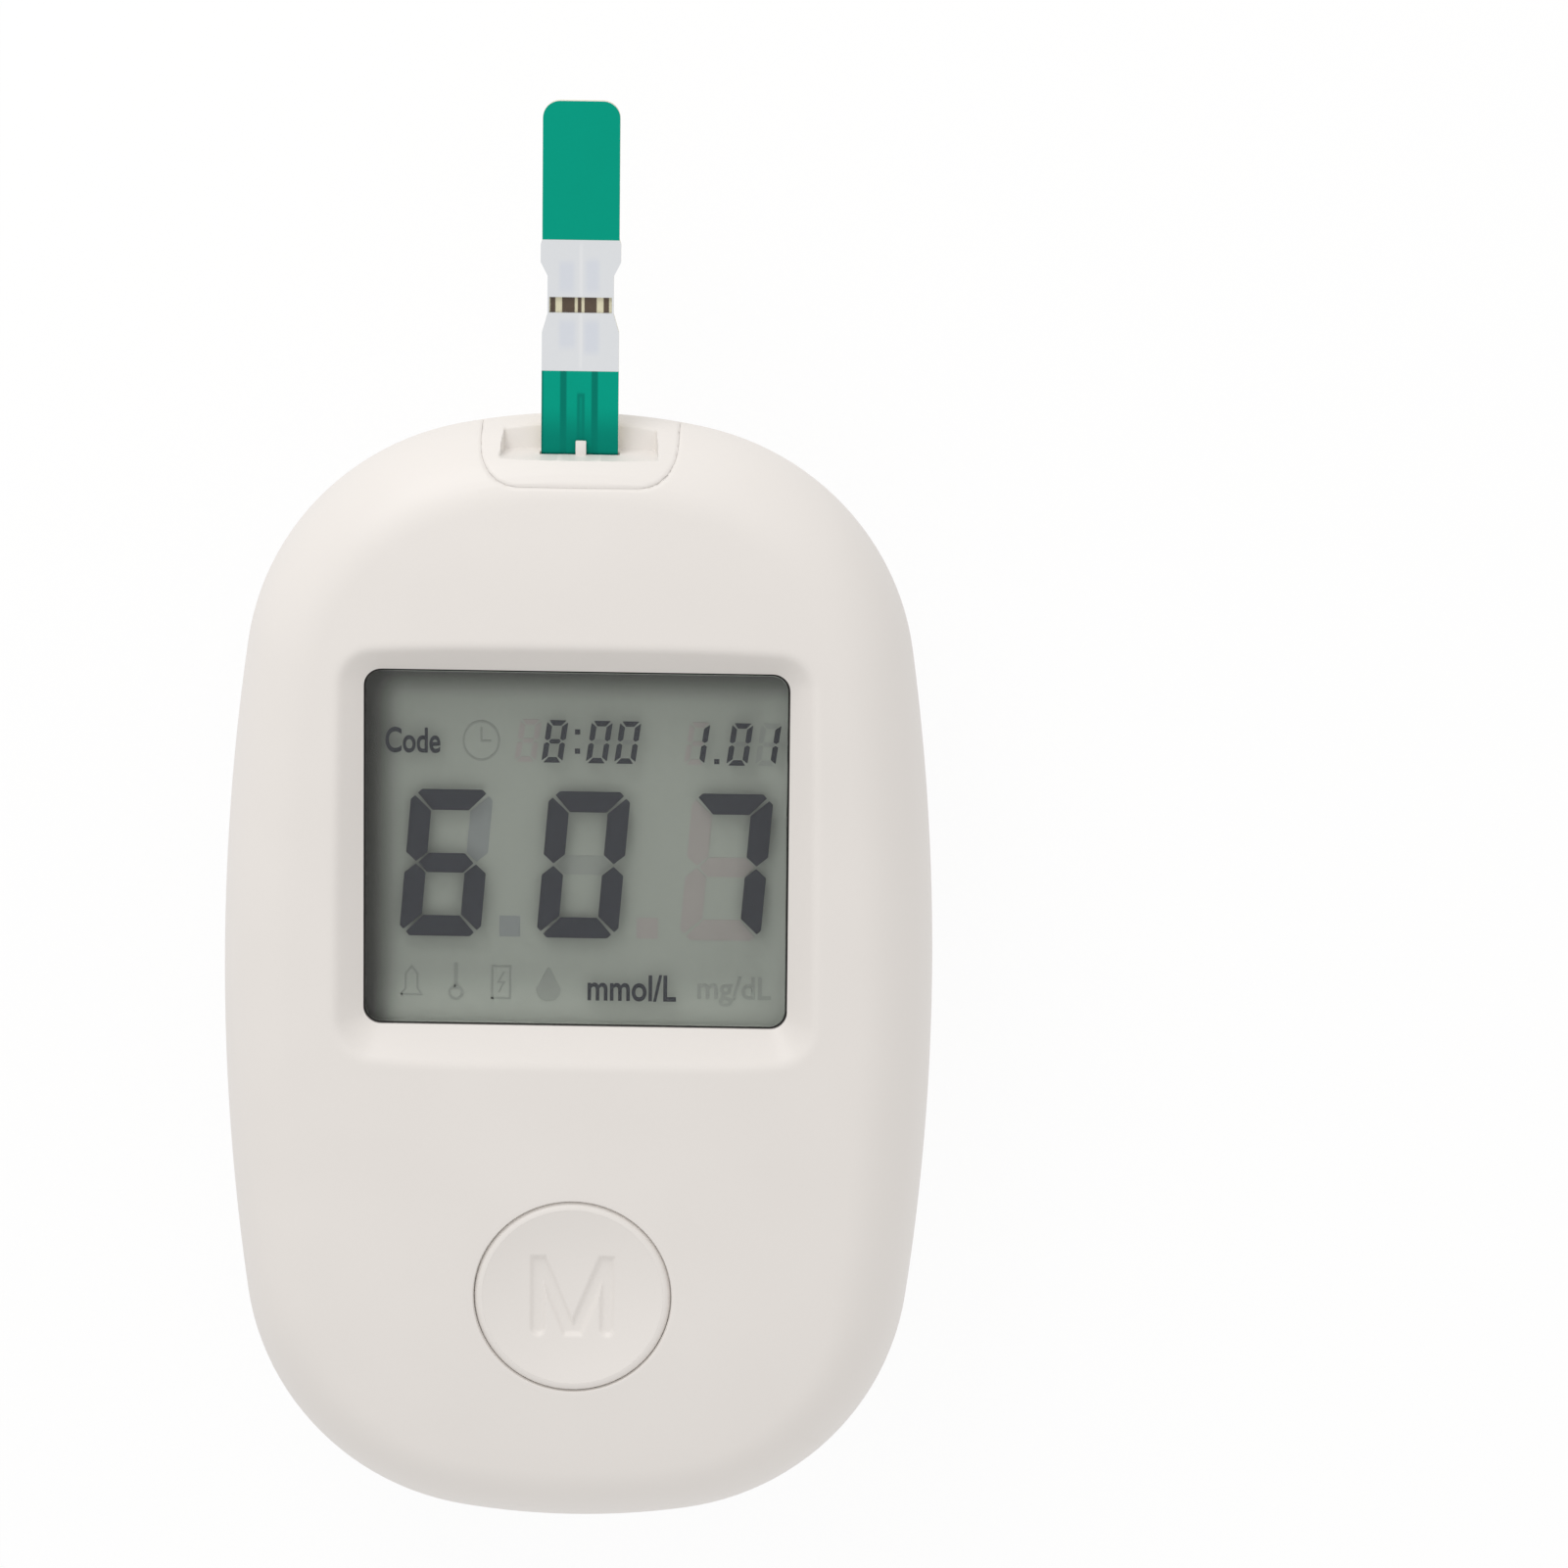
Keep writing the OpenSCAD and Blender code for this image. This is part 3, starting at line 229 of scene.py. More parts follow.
def newFinish(name, light, dark, rough=(0.4, 0.5), bump=0.02, grain=4000, cloud=90, **shader):
    material, nodes, links = newMaterial(name)
    body = setValues(nodes["Principled BSDF"], **shader)
    surface = nodes.new("ShaderNodeGroup")
    surface.node_tree = moulded
    setValues(surface, Grain_Scale=grain, Cloud_Scale=cloud)
    links.new(mixColours(nodes, links, surface.outputs["Shade"], dark, light), body.inputs["Base Color"])
    gloss = addNode(nodes, "MapRange", To_Min=rough[0], To_Max=rough[1])
    links.new(surface.outputs["Shade"], gloss.inputs["Value"])
    links.new(gloss.outputs["Result"], body.inputs["Roughness"])
    relief = addNode(nodes, "Bump", Strength=bump, Distance=0.0001)
    links.new(surface.outputs["Height"], relief.inputs["Height"])
    links.new(relief.outputs["Normal"], body.inputs["Normal"])
    return material


finishes = {
    "white_plastic": newFinish("whitePlastic", (0.80, 0.77, 0.742), (0.785, 0.755, 0.727), (0.42, 0.5), 0.03),
    "button_plastic": newFinish("buttonPlastic", (0.80, 0.77, 0.742), (0.785, 0.755, 0.727), (0.42, 0.5), 0.03),
    "ivory_plastic": newFinish("ivoryPlastic", (0.72, 0.66, 0.52), (0.68, 0.62, 0.48), (0.45, 0.55)),
    "dark_plastic": newFinish("darkPlastic", (0.05, 0.05, 0.055), (0.035, 0.035, 0.04), (0.4, 0.55)),
    "black_tape": newFinish("blackTape", (0.012, 0.010, 0.009), (0.008, 0.007, 0.006), (0.6, 0.75)),
    "grey_foam": newFinish("greyFoam", (0.035, 0.03, 0.028), (0.02, 0.017, 0.015), (0.9, 1.0), 0.8, 2500, 900),
    "silicone": newFinish("silicone", (0.62, 0.60, 0.58), (0.55, 0.53, 0.51), (0.5, 0.6), Subsurface_Weight=0.1),
    "pink_rubber": newFinish("pinkRubber", (0.55, 0.22, 0.26), (0.48, 0.18, 0.22), (0.6, 0.75)),
    "carbon": newFinish("carbonRubber", (0.02, 0.02, 0.02), (0.012, 0.012, 0.012), (0.7, 0.9)),
    "reflector": newFinish("reflectorFilm", (0.6, 0.62, 0.6), (0.55, 0.57, 0.55), (0.35, 0.45), Metallic=0.6),
    "board_green": newFinish("boardGreen", (0.015, 0.16, 0.06), (0.010, 0.12, 0.045), (0.3, 0.4), 0.1, 900, 300),
    "chip_black": newFinish("chipBlack", (0.025, 0.025, 0.027), (0.015, 0.015, 0.017), (0.55, 0.7), 0.2),
    "ceramic_tan": newFinish("ceramicTan", (0.42, 0.28, 0.16), (0.34, 0.22, 0.12), (0.5, 0.65)),
    "can_steel": newFinish("canSteel", (0.62, 0.61, 0.58), (0.5, 0.49, 0.47), (0.25, 0.4), Metallic=1.0),
    "screw_steel": newFinish("screwSteel", (0.36, 0.35, 0.33), (0.24, 0.23, 0.22), (0.3, 0.5), Metallic=1.0),
    "nickel_plate": newFinish("nickelPlate", (0.66, 0.62, 0.55), (0.54, 0.50, 0.44), (0.22, 0.38), Metallic=1.0),
    "gold_plate": newFinish("goldPlate", (0.83, 0.58, 0.22), (0.72, 0.48, 0.16), (0.22, 0.36), Metallic=1.0),
    "cell_jacket": newFinish("cellJacket", (0.035, 0.10, 0.32), (0.03, 0.085, 0.28), (0.25, 0.35), Coat_Weight=0.4),
    "strip_film": newFinish("stripFilm", (0.76, 0.72, 0.52), (0.72, 0.68, 0.49), (0.3, 0.4)),
    "conductor": newFinish("conductor", (0.12, 0.085, 0.06), (0.085, 0.06, 0.042), (0.4, 0.5),
                           Specular_IOR_Level=0.3),
    "strip_white": newFinish("stripWhite", (0.69, 0.715, 0.755), (0.67, 0.695, 0.735), (0.35, 0.45),
                             Specular_IOR_Level=0.3),
    "strip_green": newFinish("stripGreen", (0.0, 0.325, 0.225), (0.0, 0.31, 0.212), (0.5, 0.6),
                             Specular_IOR_Level=0.06),
    "label_film": newFinish("labelFilm", (0.62, 0.62, 0.61), (0.56, 0.56, 0.55), (0.3, 0.42)),
    "grey_film": newFinish("polarisingFilm", (0.30, 0.33, 0.29), (0.28, 0.31, 0.27), (0.3, 0.35), Alpha=0.12),
}


def clearFinish(name, bend, through):
    material, nodes, links = newMaterial(name)
    body = setValues(nodes["Principled BSDF"], Base_Color=(0.98, 1.0, 0.99, 1), Transmission_Weight=1, IOR=bend)
    surface = nodes.new("ShaderNodeGroup")
    surface.node_tree = moulded
    rough = addNode(nodes, "MapRange", To_Min=0.0, To_Max=0.01)
    links.new(surface.outputs["Shade"], rough.inputs["Value"])
    links.new(rough.outputs["Result"], body.inputs["Roughness"])
    passing = addNode(nodes, "BsdfTransparent", Color=(*through, 1))
    mixed = mixShaders(nodes, links, rayShare(nodes, links, lightRays), body.outputs[0], passing.outputs[0])
    links.new(mixed, nodes["Material Output"].inputs["Surface"])
    return material


def bandGroup():
    group = bpy.data.node_groups.new("softBand", "ShaderNodeTree")
    for name in ("Place", "Low", "High", "Soft"):
        group.interface.new_socket(name, in_out="INPUT", socket_type="NodeSocketFloat")
    group.interface.new_socket("Mask", in_out="OUTPUT", socket_type="NodeSocketFloat")
    nodes, links = group.nodes, group.links
    start, end = nodes.new("NodeGroupInput"), nodes.new("NodeGroupOutput")
    sides = []
    for edge, values in (("Low", (0, 1)), ("High", (1, 0))):
        side = nodes.new("ShaderNodeMapRange")
        side.interpolation_type = "SMOOTHSTEP"
        links.new(start.outputs["Place"], side.inputs["Value"])
        for way, socket in ((-0.5, "From Min"), (0.5, "From Max")):
            shift = nodes.new("ShaderNodeMath")
            shift.operation = "MULTIPLY_ADD"
            shift.inputs[1].default_value = way
            links.new(start.outputs["Soft"], shift.inputs[0])
            links.new(start.outputs[edge], shift.inputs[2])
            links.new(shift.outputs[0], side.inputs[socket])
        setValues(side, To_Min=values[0], To_Max=values[1])
        sides.append(side.outputs["Result"])
    both = nodes.new("ShaderNodeMath")
    both.operation = "MULTIPLY"
    links.new(sides[0], both.inputs[0])
    links.new(sides[1], both.inputs[1])
    links.new(both.outputs[0], end.inputs["Mask"])
    return group


softBand = bandGroup()


def patchMask(nodes, links, across, along, soft=(0.1, 0.1), strength=1.0):
    where = nodes.new("ShaderNodeTexCoord")
    parts = nodes.new("ShaderNodeSeparateXYZ")
    links.new(where.outputs["Object"], parts.inputs[0])
    total = None
    for axis, limits, blur in (("X", across, soft[0]), ("Y", along, soft[1])):
        band = nodes.new("ShaderNodeGroup")
        band.node_tree = softBand
        links.new(parts.outputs[axis], band.inputs["Place"])
        setValues(band, Low=limits[0] * mm, High=limits[1] * mm, Soft=blur * mm)
        step = nodes.new("ShaderNodeMath")
        step.operation = "MULTIPLY"
        step.inputs[1].default_value = strength if total is None else 1
        links.new(band.outputs["Mask"], step.inputs[0])
        if total is not None:
            links.new(total, step.inputs[1])
        total = step.outputs[0]
    return total


def addPatches(material, patches):
    nodes, links = material.node_tree.nodes, material.node_tree.links
    body = nodes["Principled BSDF"]
    colour = body.inputs["Base Color"].links[0].from_socket
    for tint, across, along, soft, strength in patches:
        colour = mixColours(nodes, links, patchMask(nodes, links, across, along, soft, strength), colour, tint)
    links.new(colour, body.inputs["Base Color"])
    return material


finishes["clear_lens"] = clearFinish("clearLens", 1.33, (0.97, 0.975, 0.97))
finishes["display_glass"] = clearFinish("displayGlass", 1.12, (0.96, 0.965, 0.955))
finishes["segment"] = newFinish("segmentInk", (0.034, 0.035, 0.044), (0.030, 0.031, 0.040), (0.6, 0.7), 0.0,
                                Specular_IOR_Level=0.0)
panelTone = (0.302, 0.314, 0.293)
# painted light and shade on the display panel: lighter towards its right and bottom edges, painted shadow along its
# top and left edges under the casing
panelPaintedShading = [
    # painted light towards the right edge
    ((0.47, 0.49, 0.46), (14.8, 40), (-40, 60), (3.6, 0.1), 0.8),
    # painted light towards the bottom edge
    ((0.53, 0.55, 0.51), (-40, 40), (-40, -1.0), (0.1, 4.2), 0.85),
    # painted shadow under the top edge
    ((0.028, 0.026, 0.022), (-40, 40), (23.25, 60), (0.1, 2.9), 0.9),
    # painted shadow under the left edge
    ((0.028, 0.024, 0.020), (-60, -14.6), (-40, 60), (3.1, 0.1), 1.0),
]


def panelFinish(name, tint):
    tone = [panelTone[i] * tint[i] for i in range(3)]
    made = newFinish(name, tone, [0.985 * part for part in tone], (0.5, 0.6), Specular_IOR_Level=0.1)
    # the panel and its unlit segments take the same painted light and shade, scaled by their tint
    shade = [([part * tint[i] for i, part in enumerate(colour)], *rest) for colour, *rest in panelPaintedShading]
    return addPatches(made, shade)


finishes["panel"] = panelFinish("displayPanel", (1, 1, 1))
finishes["greyGhost"] = panelFinish("greyUnlit", (0.74, 0.74, 0.82))
finishes["paleGhost"] = panelFinish("paleUnlit", (0.86, 0.86, 0.88))
finishes["iconGhost"] = panelFinish("unlitIcons", (0.79, 0.79, 0.80))
finishes["pinkGhost"] = panelFinish("pinkUnlit", (1.02, 0.89, 0.94))

# dark is the painted shade of the strip film near the port
dark, pale = (0.0, 0.195, 0.145), (0.55, 0.60, 0.72)
finishes["leadFilm"] = addPatches(newFinish("leadFilm", (0.0, 0.33, 0.232), (0.0, 0.31, 0.215), (0.5, 0.6),
                                            Specular_IOR_Level=0.06), [
    ((0.0, 0.16, 0.12), (-1.50, -1.02), (30, 50), (0.14, 0.1), 0.85),
    ((0.0, 0.16, 0.12), (0.87, 1.35), (30, 50), (0.14, 0.1), 0.85),
    ((0.0, 0.18, 0.135), (-0.22, 0.36), (30, 46.1), (0.14, 0.3), 0.75),
    ((0.0, 0.29, 0.205), (-0.02, 0.16), (30, 45.8), (0.12, 0.3), 0.6),
    # painted shade: the film is darker where it lies over the port's scoop
    (dark, (-40, 40), (30, 43.9), (0.1, 3.0), 0.8),
    ((0.0, 0.10, 0.08), (-2.95, -2.78), (30, 50), (0.12, 0.1), 0.6),
    # painted shadow where the strip goes under the slot's lip
    ((0.0, 0.035, 0.03), (-40, 40), (30, 41.45), (0.1, 0.3), 0.9),
])
finishes["windowFilm"] = addPatches(newFinish("windowFilm", (0.71, 0.735, 0.765), (0.69, 0.715, 0.745), (0.35, 0.45),
                                              Specular_IOR_Level=0.3), [
    (pale, (-1.6, -0.5), (53.9, 56.2), (0.5, 0.9), 0.35),
    (pale, (0.4, 1.4), (53.9, 56.4), (0.5, 0.9), 0.35),
    (pale, (-1.6, -0.4), (49.6, 51.7), (0.5, 0.9), 0.35),
    (pale, (0.3, 1.4), (49.2, 51.7), (0.5, 0.9), 0.4),
    ((0.80, 0.815, 0.835), (-0.1, 0.16), (48, 57.6), (0.15, 0.8), 0.4),
])
print("materials are made:", len(finishes))

# helpers for meshes, in millimetres until a piece is finished


def placePiece(bm, name, body, slot, *nodes, finish=None, sharp=35):
    bmesh.ops.remove_doubles(bm, verts=bm.verts, dist=1e-5)
    bmesh.ops.recalc_face_normals(bm, faces=bm.faces)
    bmesh.ops.scale(bm, vec=(mm, mm, mm), verts=bm.verts)
    mesh = bpy.data.meshes.new(name)
    bm.to_mesh(mesh)
    bm.free()
    mesh.shade_smooth()
    mesh.set_sharp_from_angle(angle=radians(sharp))
    mesh.materials.append(finishes[finish or slot])
    piece = bpy.data.objects.new(name, mesh)
    bpy.context.collection.objects.link(piece)
    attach(piece, body)
    if nodes:
        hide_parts(*nodes)
    return piece


def looseObject(bm, name="loose"):
    mesh = bpy.data.meshes.new(name)
    bm.to_mesh(mesh)
    bm.free()
    thing = bpy.data.objects.new(name, mesh)
    bpy.context.collection.objects.link(thing)
    return thing


def combine(base, tools, operation="DIFFERENCE"):
    target = looseObject(base)
    others = [looseObject(tool) for tool in tools]
    for other in others:
        step = target.modifiers.new("cut", "BOOLEAN")
        step.object = other
        step.operation = operation
        step.solver = "EXACT"
    graph = bpy.context.evaluated_depsgraph_get()
    made = bpy.data.meshes.new_from_object(target.evaluated_get(graph))
    result = bmesh.new()
    result.from_mesh(made)
    for thing in [target, *others]:
        mesh = thing.data
        bpy.data.objects.remove(thing)
        bpy.data.meshes.remove(mesh)
    bpy.data.meshes.remove(made)
    return result


def addTo(base, extra):
    mesh = bpy.data.meshes.new("extra")
    extra.to_mesh(mesh)
    extra.free()
    base.from_mesh(mesh)
    bpy.data.meshes.remove(mesh)
    return base


def boxBetween(x0, x1, y0, y1, z0, z1):
    bm = bmesh.new()
    bmesh.ops.create_cube(bm, size=1)
    bmesh.ops.scale(bm, vec=(x1 - x0, y1 - y0, z1 - z0), verts=bm.verts)
    bmesh.ops.translate(bm, vec=((x0 + x1) / 2, (y0 + y1) / 2, (z0 + z1) / 2), verts=bm.verts)
    return bm


def rodBetween(x, y, radius, z0, z1, segments=48):
    bm = bmesh.new()
    bmesh.ops.create_cone(bm, cap_ends=True, segments=segments, radius1=radius, radius2=radius, depth=z1 - z0)
    bmesh.ops.translate(bm, vec=(x, y, (z0 + z1) / 2), verts=bm.verts)
    return bm


def rodAlongX(y, z, radius, half, segments=32):
    bm = rodBetween(0, 0, radius, -half, half, segments)
    bmesh.ops.rotate(bm, verts=bm.verts, cent=(0, 0, 0), matrix=Matrix.Rotation(pi / 2, 3, "Y"))
    bmesh.ops.translate(bm, vec=(0, y, z), verts=bm.verts)
    return bm


def roundedPlate(halfX, halfY, corner, y, z0, z1, segments=8):
    bm = boxBetween(-halfX, halfX, y - halfY, y + halfY, z0, z1)
    upright = [e for e in bm.edges if abs(e.verts[0].co.z - e.verts[1].co.z) > 1e-6]
    bmesh.ops.bevel(bm, geom=upright, offset=corner, segments=segments, affect="EDGES", profile=0.5, material=-1)
    return bm


def bevelSharp(bm, width, segments=2, angle=30):
    edges = [e for e in bm.edges if len(e.link_faces) == 2 and e.calc_face_angle() > radians(angle)]
    bmesh.ops.bevel(bm, geom=edges, offset=width, segments=segments, affect="EDGES", profile=0.5, material=-1,
                    clamp_overlap=True)
    return bm


def spinLine(bm, line, closed=False):
    verts = [bm.verts.new((r, 0, z)) for r, z in line]
    pairs = list(zip(verts, verts[1:])) + [(verts[-1], verts[0])] * closed
    edges = [bm.edges.new(pair) for pair in pairs]
    bmesh.ops.spin(bm, geom=verts + edges, cent=(0, 0, 0), axis=(0, 0, 1), angle=2 * pi, steps=96, use_merge=True)
    bmesh.ops.remove_doubles(bm, verts=bm.verts, dist=1e-4)


def curveMesh(name, data):
    thing = bpy.data.objects.new(name, data)
    bpy.context.collection.objects.link(thing)
    bpy.context.view_layer.update()
    mesh = bpy.data.meshes.new_from_object(thing.evaluated_get(bpy.context.evaluated_depsgraph_get()))
    bm = bmesh.new()
    bm.from_mesh(mesh)
    bpy.data.objects.remove(thing)
    bpy.data.meshes.remove(mesh)
    return bm


def softMin(a, b, width):
    blend = max(width - abs(a - b), 0) / width
    return min(a, b) - blend * blend * width / 4


# the casing's outline and profile

casing = {
    "width": 54.5,
    "length": 87.45,
    "widestY": -0.48,
    "sideRadius": 185.65,
    "cornerRadius": (20.44, 20.11),  # strip end, button end
    "endRadius": (45.58, 55.53),
    "steps": (12, 24, 14),
    "parting": 12.7,
    "edgeInset": 6.0,
    "edgeRise": 7.9,
    "domeSlope": 0.133,
    "domeReach": 18.0,
    "edgeSteps": 16,
}


def quarterArcs(end):
    reach = casing["length"] / 2 - (1, -1)[end] * casing["widestY"]
    corner = casing["cornerRadius"][end]
    side = Vector((casing["width"] / 2 - casing["sideRadius"], 0))
    far = Vector((0, reach - casing["endRadius"][end]))
    a, b = casing["sideRadius"] - corner, casing["endRadius"][end] - corner
    span = (far - side).length
    along = (a * a - b * b + span * span) / (2 * span)
    step = (far - side) / span
    centre = side + step * along + Vector((-step.y, step.x)) * sqrt(a * a - along * along)
    first = atan2(centre.y - side.y, centre.x - side.x)
    second = atan2(centre.y - far.y, centre.x - far.x)
    return side, centre, far, first, second


arcs = (quarterArcs(0), quarterArcs(1))
edgeAngle = atan2(casing["edgeRise"], casing["edgeInset"] * casing["domeSlope"])
edgeEnd = casing["edgeInset"] * (1 - cos(edgeAngle))
edgeEndZ = casing["parting"] + casing["edgeRise"] * sin(edgeAngle)


def insetAt(x, y):
    y -= casing["widestY"]
    end = 0 if y > 0 else 1
    side, centre, far, first, second = arcs[end]
    here = Vector((abs(x), abs(y)))
    bySide = casing["sideRadius"] - (here - side).length
    byEnd = casing["endRadius"][end] - (here - far).length
    if here.x < centre.x and here.y < centre.y:
        return min(bySide, byEnd)
    turn = atan2(here.y - centre.y, here.x - centre.x)
    if turn < first:
        return bySide
    if turn > second:
        return byEnd
    return casing["cornerRadius"][end] - (here - centre).length


def profileHeight(inset):
    if inset < edgeEnd:
        across = 1 - max(inset, 0) / casing["edgeInset"]
        return casing["parting"] + casing["edgeRise"] * sqrt(max(0, 1 - across * across))
    run = min(inset, casing["domeReach"]) - edgeEnd
    return edgeEndZ + casing["domeSlope"] * (run - run * run / (2 * (casing["domeReach"] - edgeEnd)))


def outlineFace(inset, z):
    bm = bmesh.new()
    for end, sign in ((0, 1), (1, -1)):
        side, centre, far, first, second = arcs[end]
        tip = bm.verts.new((casing["width"] / 2 - inset, casing["widestY"], z))
        turns = (first, second - first, pi / 2 - second)
        for middle, turn, steps in zip((side, centre, far), turns, casing["steps"]):
            made = bmesh.ops.spin(bm, geom=[tip], cent=(middle.x, casing["widestY"] + sign * middle.y, z),
                                  axis=(0, 0, sign), angle=turn, steps=steps)
            tip = [v for v in made["geom_last"] if isinstance(v, bmesh.types.BMVert)][0]
    bmesh.ops.mirror(bm, geom=bm.verts[:] + bm.edges[:], axis="X", merge_dist=1e-4)
    bmesh.ops.remove_doubles(bm, verts=bm.verts, dist=1e-4)
    bmesh.ops.contextual_create(bm, geom=bm.edges[:])
    return bm


def loftFrom(inset, z, first, steps):
    bm = outlineFace(inset, z)
    made = bmesh.ops.extrude_face_region(bm, geom=bm.faces[:])
    face = [f for f in made["geom"] if isinstance(f, bmesh.types.BMFace)][0]
    bmesh.ops.translate(bm, vec=(0, 0, first - z), verts=list(face.verts))
    was, height = inset, first
    for nextInset, nextZ in steps:
        bmesh.ops.inset_region(bm, faces=[face], thickness=nextInset - was, use_even_offset=True)
        bmesh.ops.translate(bm, vec=(0, 0, nextZ - height), verts=list(face.verts))
        was, height = nextInset, nextZ
    return bm, face


def sliceAcross(bm, axis, places, wanted):
    faces = [f for f in bm.faces if wanted(f.calc_center_median())]
    geom = list({v for f in faces for v in f.verts}) + list({e for f in faces for e in f.edges}) + faces
    normal = [0, 0, 0]
    normal[axis] = 1
    for place in places:
        point = [0, 0, 0]
        point[axis] = place
        geom = bmesh.ops.bisect_plane(bm, geom=geom, dist=1e-6, plane_co=point, plane_no=normal)["geom"]


def spread(low, high, step):
    count = max(1, round((high - low) / step))
    return [low + (high - low) * i / count for i in range(count + 1)]


# front cover

window = {
    "y": 11.02,
    "width": 32.43,
    "height": 27.97,
    "corner": 1.35,
    "z": 19.2,
    "edge": 0.6,
    "sideSlope": 1.24,  # run for each millimetre of rise
    "topSlope": 1.05,
    "bottomSlope": 1.17,
    "cornerGain": 0.9,
    "soft": 0.3,
    "pocketX": 18.515,
    "pocketY": 16.285,
    "pocketWall": 1.1,
}
port = {
    "width": 15.0,
    "y": 39.48,
    "corner": 2.9,
    "gap": 0.015,
    "groove": 0.28,
    "grooveShare": 0.9,
    "wallY": 41.15,
    "lip": 0.3,
    "cheekX": 5.7,
    "wallRise": 14.0,
    "floorZ": 15.7,
    "floorSlope": 0.25,
    "soft": 0.5,
    "slotHalf": 3.03,
    "slotLow": 16.15,
    "slotHigh": 17.05,
}
button = {
    "y": -23.95,
    "hole": 7.65,
    "collar": 8.1,
    "holeSoft": 0.1,
    "holeDeep": 7.585,  # the hole narrows just under its rounded edge
    "radius": 7.565,
    "top": 21.385,
    "base": 17.75,
    "stem": 17.25,
    "flange": 8.85,
    "rim": 0.6,
    "dish": 0.92,
    "field": 4.7,  # radius inside which the mark is pressed in
    "markX": 2.66,
    "markTop": 3.0,
    "markFoot": -3.2,
    "markVee": -3.53,
    "markStroke": 0.95,
    "markDepth": 0.28,
    "markSoft": 0.42,
    "travel": 0.82,
}


def windowHeight(x, y):
    low, high = -3.0, 5.0
    away = y - window["y"]
    slope = window["topSlope"] if away > 0 else window["bottomSlope"]
    for step in range(18):
        rise = (low + high) / 2
        corner = max(0.3, window["corner"] + window["cornerGain"] * rise)
        across = abs(x) - window["width"] / 2 - window["sideSlope"] * rise + corner
        along = abs(away) - window["height"] / 2 - slope * rise + corner
        outside = hypot(max(across, 0), max(along, 0)) + min(max(across, along), 0) - corner
        if outside > 0:
            low = rise
        else:
            high = rise
    return window["z"] + rise


def seamDistance(x, y):
    corner = port["corner"]
    across = abs(x) - port["width"] / 2 + corner
    along = port["y"] + corner - y
    return hypot(max(across, 0), max(along, 0)) + min(max(across, along), 0) - corner


def scoopHeight(x, y):
    floor = port["floorZ"] - port["floorSlope"] * (y - port["wallY"])
    away = hypot(max(abs(x) - port["cheekX"], 0), max(port["wallY"] + port["lip"] - y, 0) / port["lip"])
    return floor + port["wallRise"] * away * away / (away + 0.15)


def faceHeight(x, y):
    plain = profileHeight(insetAt(x, y))
    if abs(x) < 23 and abs(y - window["y"]) < 20:
        return softMin(plain, windowHeight(x, y), window["soft"])
    return plain


def faceNormal(x, y):
    step = 0.01
    return Vector((profileHeight(insetAt(x - step, y)) - profileHeight(insetAt(x + step, y)),
                   profileHeight(insetAt(x, y - step)) - profileHeight(insetAt(x, y + step)),
                   2 * step)).normalized()


def coverBlank():
    angles = [edgeAngle * (i + 1) / casing["edgeSteps"] for i in range(casing["edgeSteps"])]
    steps = [(casing["edgeInset"] * (1 - cos(a)), casing["parting"] + casing["edgeRise"] * sin(a)) for a in angles]
    bm = loftFrom(0, casing["parting"] + 0.12, casing["parting"] + 0.3, steps)[0]
    bottom = min(bm.faces, key=lambda f: f.calc_center_median().z)
    bmesh.ops.inset_region(bm, faces=[bottom], thickness=0.12, use_even_offset=True)
    bmesh.ops.translate(bm, vec=(0, 0, -0.12), verts=list(bottom.verts))
    return bm


def raiseFace(bm):
    for v in bm.verts:
        x, y, z = v.co
        if z > edgeEndZ - 0.001:
            v.co.z = faceHeight(x, y)


def sinkSeam(bm):
    for v in bm.verts:
        x, y, z = v.co
        if y < 38 or z < casing["parting"] + 0.05:
            continue
        away = abs(seamDistance(x, y))
        soft = port["groove"]
        if away < soft and z > casing["parting"] + 0.2:
            depth = (soft - sqrt(max(0, soft * soft - (soft - away) ** 2))) * port["grooveShare"]
            v.co -= faceNormal(x, y) * depth


def seamCutter(gap):
    corner = port["corner"] + gap
    half = port["width"] / 2 + gap
    bm = boxBetween(-half, half, port["y"] - gap, 50, casing["parting"] - 1, 30)
    upright = [e for e in bm.edges if abs(e.verts[0].co.z - e.verts[1].co.z) > 1 and e.verts[0].co.y < 45]
    bmesh.ops.bevel(bm, geom=upright, offset=corner, segments=24, affect="EDGES", profile=0.5, material=-1)
    return bm


def topOf(centre):
    return centre.z > edgeEndZ - 0.001


def nearSeam(centre):
    return centre.y > 38.6 and abs(centre.x) < 8.4 and centre.z > casing["parting"] + 0.05


shell = {
    "wall": 1.7,
    "innerEdge": 4.8,  # inset over which the inside rounds
    "roof": 1.6,
    "cavityFoot": 11.5,
    "pocketFoot": 17.7,
    "collarFoot": 18.6,
    "collarWall": 1.9,
    "post": 2.4,
    "casePostFoot": 13.5,
    "boardPostFoot": 14.8,
    "clear": 22,  # above the whole casing, where cuts end
}
screws = {"case": ((-12.5, 32), (12.5, 32), (-16.5, -29), (16.5, -29)), "board": ((-18.5, -13.48), (18.5, -13.48))}


